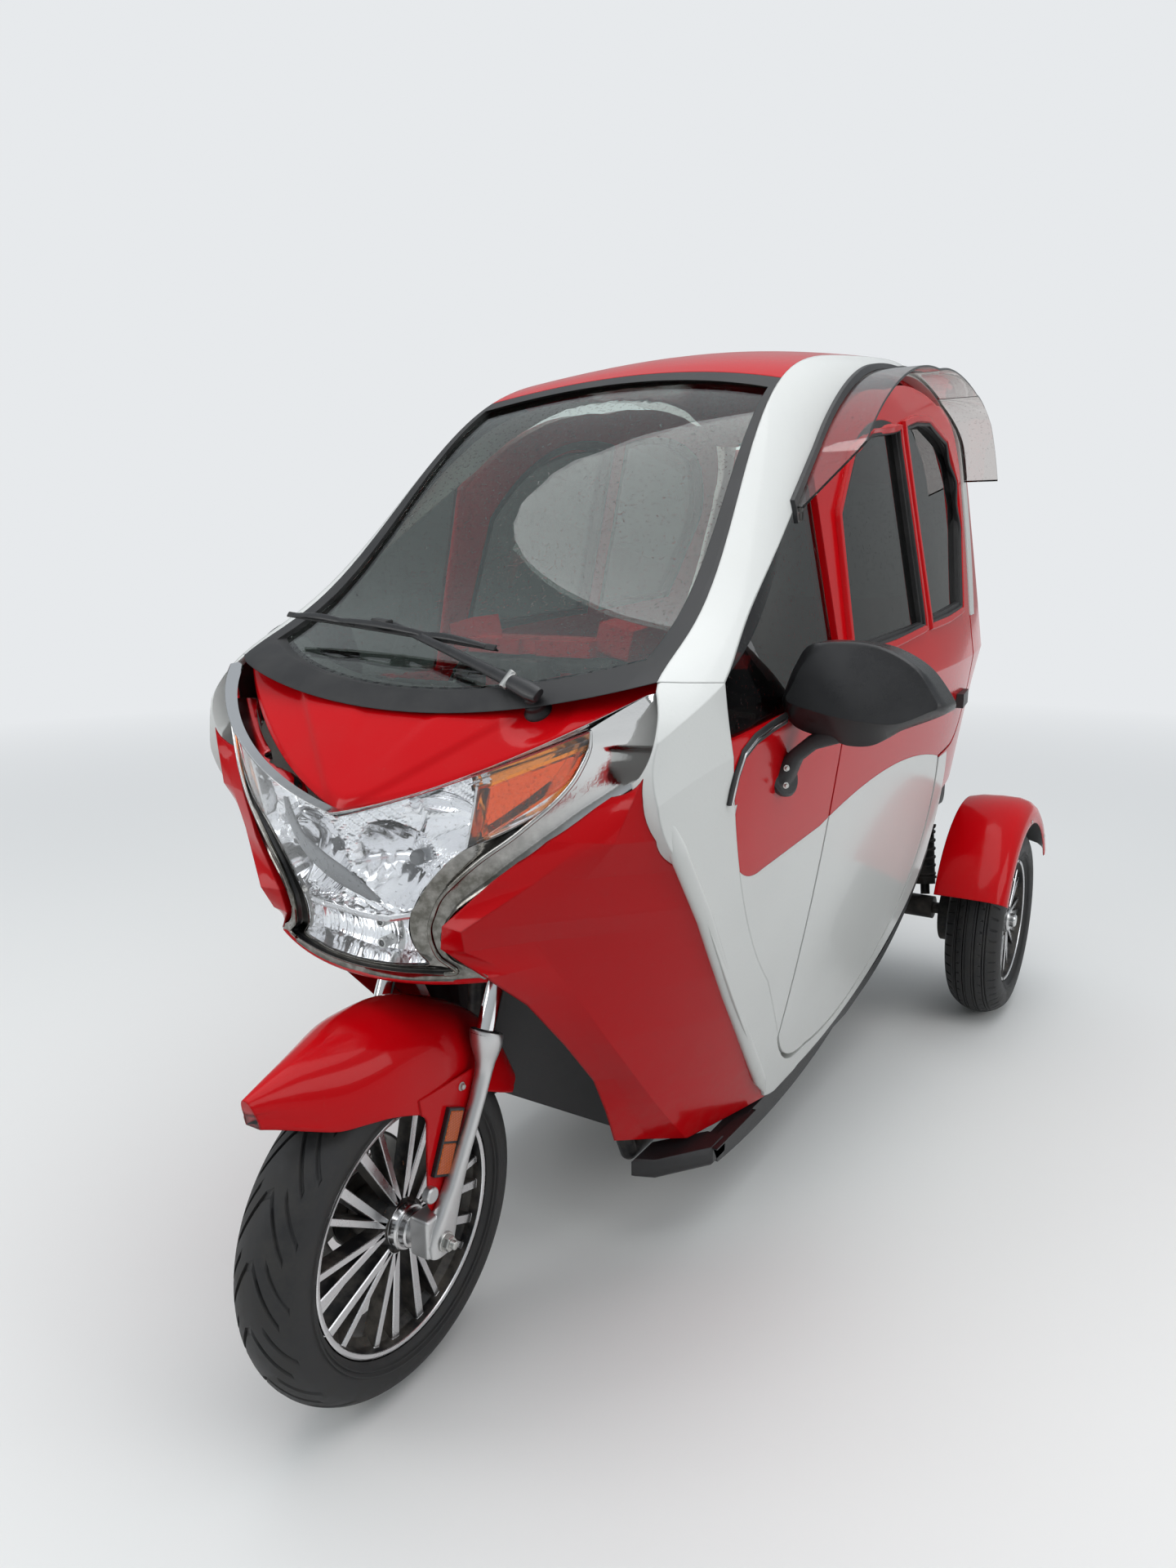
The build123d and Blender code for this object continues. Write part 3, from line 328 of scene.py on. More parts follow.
chrome = metal("chrome", (0.62, 0.62, 0.62, 1), 0.04)
mirror_chrome = metal("mirror_chrome", (0.92, 0.92, 0.93, 1), 0.06)
machined_alloy = metal("machined_alloy", (0.72, 0.72, 0.73, 1), 0.24)
cast_alloy = metal("cast_alloy", (0.60, 0.60, 0.60, 1), 0.38, 0.15, axis="Z")
lathe_alloy = metal("lathe_alloy", (0.66, 0.66, 0.66, 1), 0.20, 6.0, 0.00004, axis="X")
zinc_steel = metal("zinc_steel", (0.55, 0.55, 0.53, 1), 0.32)
black_alloy = chipped_steel("black_alloy", (0.008, 0.008, 0.009, 1), 0.36)
black_steel = chipped_steel("black_steel", (0.018, 0.018, 0.019, 1))
print("metals", chrome.name, machined_alloy.name, cast_alloy.name)

# %% [markdown]
# ## Tyre rubber and seat cover
# A tyre is dull black, greyer where it has rolled, with dust in its grooves. The seats are covered in artificial
# leather, which has a shallow crazed grain and a soft shine on top of the folds.

# %% Tyre rubber and seat cover
def tyre_finish(name):
    """Dusty tyre rubber."""
    tyre = Finish(name)
    dust = tyre.between(tyre.noise(26.0, 5.0, 0.7), 0.42, 0.78)
    grit = tyre.noise(1300.0, 2.0, 0.7)
    tyre.set(color=tyre.mix(dust * 0.45, (0.012, 0.012, 0.013, 1), (0.075, 0.07, 0.062, 1)),
             roughness=0.55 + dust * 0.3)
    tyre.bump(grit, 0.0002)
    return tyre.material


def seat_leather(name, color):
    """Artificial leather with a crazed grain."""
    hide = Finish(name)
    crease = hide.between(hide.cells(330.0), 0.0, 0.22)
    soft = hide.noise(24.0, 4.0, 0.6)
    hide.set(color=hide.mix(hide.between(soft, 0.4, 0.8) * 0.4, color, shaded(color, 1.8, 0.01)),
             roughness=0.42 + soft * 0.18 - crease * 0.06)
    hide.bump(crease * 0.7 + hide.noise(1500.0, 1.0) * 0.2, 0.00035)
    return hide.material


tyre_rubber = tyre_finish("tyre_rubber")
seat_cover = seat_leather("seat_cover", (0.022, 0.022, 0.024, 1))
print("soft finishes", tyre_rubber.name, seat_cover.name)

# %% [markdown]
# ## A finish for each piece
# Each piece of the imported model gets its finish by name. Assigning to the object's first material slot changes the
# finish and leaves the mesh as it is.

# %% Dress the nodes
def node_points(name):
    """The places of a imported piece's corners."""
    node = nodes[name]
    return [node.matrix_world @ v.co for v in node.data.vertices]


def halfway(values):
    """The middle between the lowest and the highest of some numbers."""
    values = list(values)
    return (min(values) + max(values)) / 2


FINISH_OF = {
    red_paint: "bonnet roof nose_fairings cowl_panels rear_body front_fender rear_mudguards left_door_upper "
               "right_door_upper handlebar_cover",
    white_paint: "side_hoops lower_side_frames footwell_panels left_door_lower right_door_lower",
    black_plastic: "rear_bumper wheel_arch_liner mirrors wiper left_door_handle right_door_handle seat_bases "
                   "rain_visor_strips sills",
    dash_plastic: "dashboard floor_pan battery_pack",
    window_glass: "windscreen",
    dark_glass: "quarter_glasses rear_window left_door_glass right_door_glass",
    visor_glass: "rain_visors",
    lamp_glass: "headlamp_lens",
    amber_glass: "turn_signals fender_reflectors",
    red_glass: "tail_lamps",
    chrome: "lamp_trim",
    mirror_chrome: "headlamp_reflector fork_tubes",
    rubber_black: "windscreen_seal left_window_seals right_window_seals",
    tyre_rubber: "front_tyre rear_left_tyre rear_right_tyre",
    black_alloy: "front_rim rear_left_rim rear_right_rim",
    cast_alloy: "fork_legs",
    zinc_steel: "brake_disc",
    black_steel: "chassis rear_axle rear_shocks handlebar",
    seat_cover: "driver_cushion driver_backrest bench_cushion bench_backrest",
}
dressed = set()
for finish, names in FINISH_OF.items():
    for name in names.split():
        if name in nodes:
            mesh = nodes[name].data
            mesh.materials.clear()
            mesh.materials.append(finish)
            dressed.add(name)
print("dressed", len(dressed), "left over", sorted(set(nodes) - dressed))

# %% [markdown]
# ## Lines
# An outline is written as a short table of points. arc() and line() make fine lines of such points, and through()
# draws a smooth curve through the rows of a table, however many numbers a row has.

# %% Lines and rows
X, Y, Z = Vector((1, 0, 0)), Vector((0, 1, 0)), Vector((0, 0, 1))


def arc(start, middle, end, steps):
    """Points on the circle through three points, in a plane or in space, without the start."""
    a, b, c = (Vector(p).to_3d() for p in (start, middle, end))
    u, v = b - a, c - a
    w = u.cross(v)
    centre = a + (w.cross(u) * v.length_squared + v.cross(w) * u.length_squared) / (2 * w.length_squared)
    out = (a - centre).normalized()
    side = w.normalized().cross(out)
    full = atan2((c - centre).dot(side), (c - centre).dot(out)) % (2 * pi)
    radius = (a - centre).length
    turned = [full * i / steps for i in range(1, steps + 1)]
    return [centre + (out * cos(t) + side * sin(t)) * radius for t in turned]


def line(start, *steps, fine=10):
    """Points along lines and arcs: each step is an end point, or a middle and an end point of an arc."""
    points = [Vector(start).to_3d()]
    for step in steps:
        if isinstance(step[0], (int, float)):
            points.append(Vector(step).to_3d())
        else:
            points += arc(points[-1], step[0], step[1], fine)
    return points


def through(table, place):
    """A smooth curve through a table's rows of numbers, the first number of each being the place along it."""
    i = max(k for k in range(len(table) - 1) if table[k][0] <= place or k == 0)
    before, a, b, after = table[max(i - 1, 0)], table[i], table[i + 1], table[min(i + 2, len(table) - 1)]
    t = (place - a[0]) / (b[0] - a[0])
    values = []
    for p, q, r, s in zip(before[1:], a[1:], b[1:], after[1:]):
        values.append(q + 0.5 * t * (r - p + t * (2 * p - 5 * q + 4 * r - s + t * (3 * (q - r) + s - p))))
    return values


def shares(count, low=0.0, high=1.0):
    """Evenly spaced numbers from low to high, both included."""
    return [low + (high - low) * i / (count - 1) for i in range(count)]


def clip(value):
    """A number kept between 0 and 1."""
    return min(max(value, 0.0), 1.0)


print("arc check", [round(v, 3) for v in arc((1, 0), (0, 1), (-1, 0), 2)[0]])

# %% [markdown]
# ## A kit of parts
# Most finer pieces are turned, bent or extruded, so a few ways of making faces are enough. A Kit is one mesh in the
# making. grid() joins rows of points, and the other ways only work out such rows: solid() closes a stack of rings,
# turn() spins a profile about an axle, tube() and strip() follow a line, slab() is a box with rounded edges, and
# bolt() is a hexagon head. twin() repeats all of it on the other side. done() makes the object, shades it smooth
# except at real edges, and lets it ride on a body of the car.

def square_to(axis):
    """Two directions square to an axis and to each other."""
    axis = Vector(axis).normalized()
    first = axis.cross(Z if abs(axis.z) < 0.9 else X).normalized()
    return first, axis.cross(first)


class Kit:
    """One mesh in the making, with a number for each part's finish."""

    def __init__(self):
        self.mesh = bmesh.new()

    def grid(self, rows, finish=0, ring=False, closed=False, holes=None):
        """Faces between rows of points. ring joins each row's ends, closed joins the last row to the first."""
        corners = [[self.mesh.verts.new(point) for point in row] for row in rows]
        wide = len(rows[0])
        for i in range(len(rows) - (0 if closed else 1)):
            upper, lower = corners[i], corners[(i + 1) % len(rows)]
            for j in range(wide - (0 if ring else 1)):
                if holes and holes(i, j):
                    continue
                face = self.mesh.faces.new((upper[j], upper[(j + 1) % wide], lower[(j + 1) % wide], lower[j]))
                face.material_index = finish(i, j) if callable(finish) else finish
        return corners

    def lid(self, corners, finish=0):
        """One face over a loop of corners."""
        self.mesh.faces.new(corners).material_index = finish

    def hem(self, front, back, start=True):
        """Faces that join the edges of two grids, the two sides of a thick sheet, with or without the first row."""
        edges = [(front[0], back[0])] if start else []
        edges += [(front[-1], back[-1]), ([r[0] for r in front], [r[0] for r in back]),
                  ([r[-1] for r in front], [r[-1] for r in back])]
        for a, b in edges:
            for i in range(len(a) - 1):
                self.lid((a[i], a[i + 1], b[i + 1], b[i]))

    def solid(self, rings, finish=0, last=None):
        """A closed body from a stack of rings, with a face over each end."""
        corners = self.grid(rings, finish, ring=True)
        self.lid(corners[0], finish)
        self.lid(corners[-1], finish if last is None else last)

    def turn(self, profile, place=(0, 0, 0), axis=X, steps=48, finish=0, ends=True):
        """A profile of (along the axis, radius) spun about an axle through a place."""
        first, second = square_to(axis)
        around = [2 * pi * i / steps for i in range(steps)]
        rows = [[Vector(place) + axis * along + (first * cos(t) + second * sin(t)) * radius for t in around]
                for along, radius in profile]
        if ends:
            self.solid(rows, finish)
        else:
            self.grid(rows, finish, ring=True)

    def follow(self, path, ups=None, closed=False):
        """Side and up directions at each point of a path, square to it."""
        frames = []
        up = Vector(ups[0]) if ups else square_to(path[1] - path[0])[0]
        for i, point in enumerate(path):
            ahead = path[(i + 1) % len(path)] if closed or i + 1 < len(path) else point
            behind = path[i - 1] if closed or i else point
            along = (ahead - behind).normalized()
            up = Vector(ups[i]) if ups else up
            up = (up - along * up.dot(along)).normalized()
            frames.append((along.cross(up), up))
        return frames

    def strip(self, path, profile, ups=None, closed=False, finish=0):
        """A section of (sideways, upwards) points carried along a path."""
        path = [Vector(point) for point in path]
        rows = []
        for point, (side, up) in zip(path, self.follow(path, ups, closed)):
            rows.append([point + side * a + up * b for a, b in profile])
        if closed:
            self.grid(rows, finish, ring=True, closed=True)
        else:
            self.solid(rows, finish)

    def tube(self, path, radius, sides):
        """A round bar along a path. The radius is one number or one for each point."""
        path = [Vector(point) for point in path]
        radii = radius if isinstance(radius, (list, tuple)) else [radius] * len(path)
        around = [2 * pi * i / sides for i in range(sides)]
        rows = [[point + (side * cos(t) + up * sin(t)) * r for t in around]
                for point, r, (side, up) in zip(path, radii, self.follow(path))]
        self.solid(rows)

    def slab(self, place, size, turn=None, soft=0.002, finish=0):
        """A block with rounded edges."""
        part = bmesh.new()
        bmesh.ops.create_cube(part, size=1.0)
        for vert in part.verts:
            vert.co = Vector(vert.co[k] * size[k] for k in range(3))
        bmesh.ops.bevel(part, geom=part.edges[:], offset=soft, segments=3, profile=0.6, affect="EDGES")
        if turn:
            bmesh.ops.rotate(part, verts=part.verts, cent=(0, 0, 0), matrix=turn)
        bmesh.ops.translate(part, verts=part.verts, vec=Vector(place))
        for face in part.faces:
            face.material_index = finish
        loose = bpy.data.meshes.new("part")
        part.to_mesh(loose)
        part.free()
        self.mesh.from_mesh(loose)
        bpy.data.meshes.remove(loose)

    def bolt(self, place, axis, across, high, finish=0):
        """A hexagon head with a chamfer, on a washer."""
        place, axis = Vector(place), Vector(axis).normalized()
        self.turn([(0, across * 0.2), (0, across * 0.78), (high * 0.22, across * 0.78), (high * 0.22, across * 0.2)],
                  place, axis, 24, finish, ends=False)
        self.turn([(high * 0.2, across * 0.56), (high * 0.85, across * 0.56), (high, across * 0.47),
                   (high, across * 0.2)], place, axis, 6, finish)

    def screw(self, place, axis, radius, high, finish=0):
        """A domed screw head with a cross recess, simplified to a ring and a cup."""
        self.turn([(0, radius * 0.99), (high * 0.45, radius), (high * 0.85, radius * 0.72), (high, radius * 0.4),
                   (high * 0.45, radius * 0.3), (high * 0.4, radius * 0.05)],
                  place, Vector(axis).normalized(), 20, finish)

    def twin(self):
        """The same parts again on the car's other side."""
        copies = bmesh.ops.duplicate(self.mesh, geom=self.mesh.verts[:] + self.mesh.edges[:] + self.mesh.faces[:])
        verts = [part for part in copies["geom"] if isinstance(part, bmesh.types.BMVert)]
        bmesh.ops.scale(self.mesh, verts=verts, vec=(-1, 1, 1))

    def done(self, name, body, *finishes, sharp=35, round_edges=0.0):
        """The finished object, riding on a body."""
        bmesh.ops.remove_doubles(self.mesh, verts=self.mesh.verts, dist=1e-6)
        bmesh.ops.recalc_face_normals(self.mesh, faces=self.mesh.faces)
        made = bpy.data.meshes.new(name)
        self.mesh.to_mesh(made)
        self.mesh.free()
        return piece(name, made, body, *finishes, sharp=sharp, round_edges=round_edges)


def piece(name, mesh, body, *finishes, sharp=35, round_edges=0.0):
    """An object from a mesh: finishes, shading, and the body that carries it."""
    for finish in finishes:
        mesh.materials.append(finish)
    mesh.polygons.foreach_set("use_smooth", [True] * len(mesh.polygons))
    mesh.set_sharp_from_angle(angle=radians(sharp))
    made = bpy.data.objects.new(name, mesh)
    bpy.context.scene.collection.objects.link(made)
    if round_edges:
        soften = made.modifiers.new("soften", "BEVEL")
        soften.width = round_edges
        soften.segments = 2
        soften.limit_method = "ANGLE"
        soften.harden_normals = False
    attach(made, body)
    return made


print("ways to add parts", [way for way in dir(Kit) if not way.startswith("_")])

# %% [markdown]
# ## Tyres
# The front tyre is a scooter's, round from side to side with long slanting grooves that meet in a V. A grid bends to
# such a pattern when its rows slant like the grooves: then a groove is only a few rows that lie deeper. The rear
# tyres are car tyres, flat across, with four straight grooves and short cuts at the shoulders. Rows near a groove's
# wall lie close together, so the wall comes out steep.

# %% Tyre section
FRONT_AXLE = Vector((0, -0.932, 0.254))
REAR_AXLE = Vector((0, 0.898, 0.249))
TRACK_HALF = 0.458
SECTION_STEPS = 16
CROWNED = 0.42  # how far the tread's shoulder lies under its crown, as a share of the half width


def tyre_section(radius, half_wide, bead):
    """Half of a tyre's outline, from the tread's middle to the bead, as (across, radius) points."""
    crown = radius - half_wide * CROWNED
    tread = arc((-half_wide * 0.93, crown), (0, radius), (half_wide * 0.93, crown), SECTION_STEPS * 2)
    wall = arc((half_wide * 0.93, crown), (half_wide * 1.05, (crown + bead) / 2),
               (half_wide * 0.82, bead + 0.001), SECTION_STEPS)
    return [(p.x, p.y) for p in tread[SECTION_STEPS - 1:]], [(p.x, p.y) for p in wall]


def tyre(name, body, centre, radius, half_wide, bead, repeats, slant, rows, grooves, node):
    """A tyre with its tread. rows says where in one repeat a slanting cut lies, grooves the straight ones."""
    tread, wall = tyre_section(radius, half_wide, bead)
    edge = tread[-1][0]
    shoulder = radius - half_wide * CROWNED
    across = [(x, r, 0.0) for x, r in tread]
    for middle, wide, deep in grooves:
        for x, d in ((middle - wide, 0.0), (middle - wide * 0.8, deep),
                     (middle + wide * 0.8, deep), (middle + wide, 0.0)):
            r = radius - half_wide * CROWNED * (x / (half_wide * 0.93)) ** 2
            across.append((x, r, d))
    across = sorted({round(x, 5): (x, r, d) for x, r, d in across if x >= 0}.values())
    half = [(x, r - d) for x, r, d in across] + wall
    kit = Kit()
    spin = [(2 * pi * (repeat + place) / repeats, deep) for repeat in range(repeats) for place, deep in rows]
    section = [(-x, r) for x, r in reversed(half[1:])] + half
    grid_rows = []
    for angle, deep in spin:
        row = []
        for x, r in section:
            share = min(abs(x) / edge, 1.0)
            on_tread = r > shoulder - 0.0005
            cut = 0.0
            if deep and on_tread:
                low, high, most = deep
                cut = most * clip((share - low) / 0.06) * clip((high - share) / 0.06)
            lean = slant * share * 2 * pi / repeats
            t = angle + lean * (1 if on_tread else max(0.0, 1 - (shoulder - r) * 60))
            row.append(Vector((x, cos(t) * (r - cut), sin(t) * (r - cut))) + centre)
        grid_rows.append(row)
    kit.grid(grid_rows, closed=True)
    for side in (-1, 1):
        for ring_r, lift in ((bead + 0.010, 0.0006), (bead + 0.016, 0.0005)):
            out = half_wide * 0.925 + (ring_r - bead) * 0.55
            kit.turn([(side * out, ring_r - 0.0012), (side * (out + lift), ring_r), (side * out, ring_r + 0.0012)],
                     centre, X, 96, ends=False)
    made = kit.done(name, body, tyre_rubber, sharp=28)
    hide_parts(node)
    return made


SCOOTER_CUTS = [(0.0, None), (0.03, (0.10, 0.80, 0.0045)), (0.13, (0.10, 0.80, 0.0045)), (0.16, None), (0.33, None),
                (0.50, None), (0.53, (0.42, 1.0, 0.0040)), (0.62, (0.42, 1.0, 0.0040)), (0.65, None), (0.82, None)]
CAR_CUTS = [(0.0, None), (0.04, (0.72, 1.02, 0.0035)), (0.16, (0.72, 1.02, 0.0035)), (0.20, None),
            (0.50, None), (0.54, (0.36, 0.50, 0.0030)), (0.64, (0.36, 0.50, 0.0030)), (0.68, None)]
front_tyre = tyre("front_tyre_tread", "front_wheel", FRONT_AXLE, 0.254, 0.055, 0.182, 18, 1.25, SCOOTER_CUTS, [],
                  "front_tyre")
for side, name in ((1, "left"), (-1, "right")):
    tyre(f"rear_{name}_tyre_tread", f"rear_{name}_wheel", REAR_AXLE + X * side * TRACK_HALF, 0.249, 0.0635, 0.160, 52,
         0.5, CAR_CUTS, [(0.011, 0.0038, 0.006), (0.034, 0.0036, 0.006)], f"rear_{name}_tyre")
print("front tyre faces", len(front_tyre.data.polygons))

# %% [markdown]
# ## Alloy wheels
# The wheels are cast alloy, painted black, and then the front faces of the spokes and the rim's edge are turned
# bright on a lathe. There are five groups of two V-shaped spokes. Each bar is made with a chamfer: its face gets the
# machined metal, and its flanks stay black. The barrel behind is one turned profile with the drop centre that a
# tubeless tyre needs.

# %% Alloy wheel
def turned(angle, radius):
    """A point in the wheel's plane, by its angle in degrees and radius."""
    return Vector((0, cos(radians(angle)), sin(radians(angle)))) * radius


def spoke(start, end, face_x, deep, half_foot, half_tip, side):
    """A spoke's bar between two points (angle in degrees, radius), with a bright chamfered face."""
    foot, tip = turned(*start), turned(*end)
    along = (tip - foot).normalized()
    off = X.cross(along)
    rows = []
    for x, grow in ((face_x - deep, 1.25), (face_x - 0.0016, 1.0), (face_x, 0.82)):
        rows.append([X * side * x + foot + off * half_foot * grow, X * side * x + tip + off * half_tip * grow,
                     X * side * x + tip - off * half_tip * grow, X * side * x + foot - off * half_foot * grow])
    return rows


def alloy_wheel(name, body, centre, rim_r, half_wide, hub_r, side, face_x, node, cap_out):
    """Barrel, spokes and hub of one wheel. side is the way its face looks."""
    kit = Kit()
    w = half_wide * 0.82
    profile = [(-w, rim_r - 0.001), (-w - 0.0012, rim_r - 0.004), (-w + 0.001, rim_r - 0.008),
               (-w + 0.010, rim_r - 0.010), (-w + 0.018, rim_r - 0.022), (w - 0.026, rim_r - 0.022),
               (w - 0.016, rim_r - 0.012), (w - 0.003, rim_r - 0.010), (w - 0.001, rim_r - 0.009)]
    kit.turn([(side * x, r) for x, r in profile], centre, X, 96, 0, ends=False)
    bright = [(w - 0.001, rim_r - 0.009), (w + 0.0004, rim_r - 0.008), (w + 0.0012, rim_r - 0.0035),
              (w + 0.0002, rim_r - 0.001)]
    kit.turn([(side * x, r) for x, r in bright], centre, X, 96, 1, ends=False)
    for group in range(5):
        middle = 72 * group + 90
        for foot, tip, half_foot, half_tip in ((-13, -27, 0.0058, 0.0078), (-8.5, -13, 0.0050, 0.0056),
                                               (8.5, 13, 0.0050, 0.0056), (13, 27, 0.0058, 0.0078)):
            rows = spoke((middle + foot, hub_r + 0.008), (middle + tip, rim_r - 0.0095), face_x, 0.024, half_foot,
                         half_tip, side)
            rows = [[point + centre for point in row] for row in rows]
            corners = kit.grid(rows, lambda i, j: 1 if i == 1 else 0, ring=True)
            kit.lid(corners[-1], 1)
        web = []
        for x, r0, r1, spread in ((face_x - 0.020, hub_r - 0.004, hub_r + 0.038, 21), (face_x - 0.004, hub_r - 0.004,
                                                                                      hub_r + 0.030, 19)):
            web.append([centre + X * side * x + point for point in
                        (turned(middle - spread, r0), turned(middle - 15, r1), turned(middle, r1 - 0.012),
                         turned(middle + 15, r1), turned(middle + spread, r0))])
        corners = kit.grid(web, ring=True)
        kit.lid(corners[-1])
        for lean in (-24, 24):
            kit.turn([(face_x - 0.006, 0.0062), (face_x - 0.003, 0.0062), (face_x - 0.0022, 0.0048)],
                     centre + turned(middle + lean + 12 * (1 if lean < 0 else -1), hub_r + 0.004), X * side, 16, 0)
    hub = [(-w * 0.9, hub_r * 0.8), (-w * 0.9, hub_r + 0.004), (face_x - 0.022, hub_r + 0.006),
           (face_x - 0.010, hub_r + 0.010), (face_x - 0.001, hub_r + 0.002), (face_x, hub_r - 0.004)]
    kit.turn([(side * x, r) for x, r in hub], centre, X, 48, 0)
    kit.turn([(side * (face_x + x), r) for x, r in cap_out], centre, X, 48, 2)
    made = kit.done(name, body, black_alloy, machined_alloy, lathe_alloy, sharp=30)
    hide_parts(node)
    return made


STEPPED_CAP = [(-0.002, 0.0335), (0.010, 0.0335), (0.0125, 0.0315), (0.0125, 0.0285), (0.022, 0.0265), (0.0245, 0.0240),
               (0.0245, 0.0150), (0.040, 0.0130), (0.0415, 0.0120), (0.0415, 0.0095)]
NUT_CAP = [(-0.002, 0.030), (0.006, 0.029), (0.009, 0.026), (0.009, 0.018), (0.020, 0.017), (0.023, 0.014),
           (0.0235, 0.002)]
front_wheel_alloy = alloy_wheel("front_alloy_wheel", "front_wheel", FRONT_AXLE, 0.182, 0.055, 0.032, 1, 0.036,
                                "front_rim", STEPPED_CAP)
for side, name in ((1, "left"), (-1, "right")):
    alloy_wheel(f"rear_{name}_alloy_wheel", f"rear_{name}_wheel", REAR_AXLE + X * side * TRACK_HALF, 0.160, 0.0635,
                0.034, side, 0.040, f"rear_{name}_rim", NUT_CAP)
print("front alloy faces", len(front_wheel_alloy.data.polygons))

# %% [markdown]
# ## Brake disc and caliper
# The disc sits on the wheel's right side, away from the camera, and its holes let water and dust out. A hole in a grid
# costs nothing: the face is left out, and a Solidify modifier gives the sheet its thickness and closes the hole's
# walls.

# %% Brake
kit = Kit()
DISC_RINGS = [0.052, 0.058, 0.064, 0.070, 0.074, 0.078, 0.082, 0.086, 0.092, 0.096, 0.100, 0.104, 0.110]
DISC_STEPS = 120


def drilled(ring, step):
    """True in the disc's two rows of holes and in the windows between its inner arms."""
    inner_hole = ring in (4, 5) and step % 10 in (2, 3)
    outer_hole = ring in (8, 9) and step % 10 in (7, 8)
    return inner_hole or outer_hole or (ring in (1, 2) and step % 20 > 5)


rows = [[FRONT_AXLE - X * 0.052 + turned(360 * j / DISC_STEPS, r) for j in range(DISC_STEPS)] for r in DISC_RINGS]
kit.grid(rows, ring=True, holes=drilled)
disc = kit.done("brake_disc_drilled", "front_wheel", zinc_steel)
thick = disc.modifiers.new("thick", "SOLIDIFY")
thick.thickness = 0.0038
thick.offset = 0
kit = Kit()
kit.turn([(-0.058, 0.030), (-0.058, 0.056), (-0.0545, 0.058), (-0.046, 0.054), (-0.044, 0.040)], FRONT_AXLE, X, 40)
for k in range(5):
    kit.bolt(FRONT_AXLE - X * 0.0545 + turned(72 * k, 0.047), -X, 0.008, 0.005, 1)
carrier = kit.done("brake_disc_carrier", "front_wheel", black_alloy, zinc_steel)
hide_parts("brake_disc")
kit = Kit()
RAKE = radians(24)
RAKE_UP = Vector((0, sin(RAKE), cos(RAKE)))
RAKE_BACK = Vector((0, cos(RAKE), -sin(RAKE)))
lean = Matrix((X, RAKE_BACK, RAKE_UP)).transposed()
middle = FRONT_AXLE + RAKE_BACK * 0.092 + RAKE_UP * 0.050
kit.slab(middle + X * -0.0675, (0.022, 0.050, 0.078), lean, 0.006)
kit.slab(middle + X * -0.0465, (0.010, 0.044, 0.066), lean, 0.004)
kit.slab(middle + X * -0.056 + RAKE_BACK * 0.024, (0.030, 0.012, 0.060), lean, 0.004)
for up_along in (-0.020, 0.020):
    kit.turn([(0, 0.013), (0.006, 0.013), (0.008, 0.010)], middle + X * -0.078 + RAKE_UP * up_along, -X, 24, 1)
kit.slab(FRONT_AXLE + RAKE_BACK * 0.050 + RAKE_UP * 0.052 + X * -0.076, (0.008, 0.070, 0.030), lean, 0.003)
caliper = kit.done("brake_caliper", "steering", black_alloy, zinc_steel)
print("brake pieces", disc.name, carrier.name, caliper.name)

# %% [markdown]
# ## The nose
# Lamp, trim and bonnet all lie on one leaning round face, so one sum gives the depth of any point of it from its
# place in the front view. Each piece below is then drawn as in a front view, in x and z, and only says how far it
# lies behind or before that face. Lines such as the lens's edge are short tables of lines and arcs.

# %% The leaning face
TIP_Y, TIP_Z = -0.990, 0.868
NOSE_RADIUS, NOSE_LEAN, BONNET_SLOPE = 0.442, 0.156, 0.875


def on_nose(x, z, behind=0.0):
    """The point of the nose's round face at x and z, moved backwards by a distance."""
    radius = NOSE_RADIUS - behind
    return Vector((x, TIP_Y + (TIP_Z - z) * NOSE_LEAN + NOSE_RADIUS - sqrt(radius ** 2 - x * x), z))


def on_bonnet(x, z, above=0.0):
    """The point of the sloping bonnet at x and z, moved outwards by a distance."""
    y = TIP_Y + (z + 0.022 * (x / 0.4) ** 2 - TIP_Z) / BONNET_SLOPE
    return Vector((x, y - above * 0.66, z + above * 0.75))


def height_at(points, x):
    """The height of a line of points at x."""
    for a, b in zip(points, points[1:]):
        if min(a.x, b.x) <= x <= max(a.x, b.x) and a.x != b.x:
            return a.y + (b.y - a.y) * (x - a.x) / (b.x - a.x)
    return points[-1].y if abs(points[-1].x - x) < abs(points[0].x - x) else points[0].y


def ease(value, low, high):
    """0 below low, 1 above high, and a soft step between."""
    t = clip((value - low) / (high - low))
    return t * t * (3 - 2 * t)


V_EDGE = line((0, 0.866), ((0.160, 0.919), (0.318, 0.988)), fine=24)
SIDE_EDGE = line((0.318, 0.988), ((0.303, 0.932), (0.264, 0.884)), ((0.226, 0.860), (0.181, 0.837)),
                 ((0.138, 0.800), (0.098, 0.741)), fine=12)
FOOT_EDGE = line((0, 0.660), (0.060, 0.6625), (0.116, 0.671))
print("tip of the nose", [round(v, 3) for v in on_nose(0, 0.868)])

# %% [markdown]
# ## Inside the headlamp
# The reflector is one moulding with a vacuum-plated mirror skin: two bowls, a lower lamp and stepped sides. It is
# made as a relief, a grid in the front view where one sum gives the depth of each point: the deepest of several
# hollows wins, so the walls between them come out by themselves. Flutes are a wave added inside the bowls. The lens
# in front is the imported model's own thin shell.

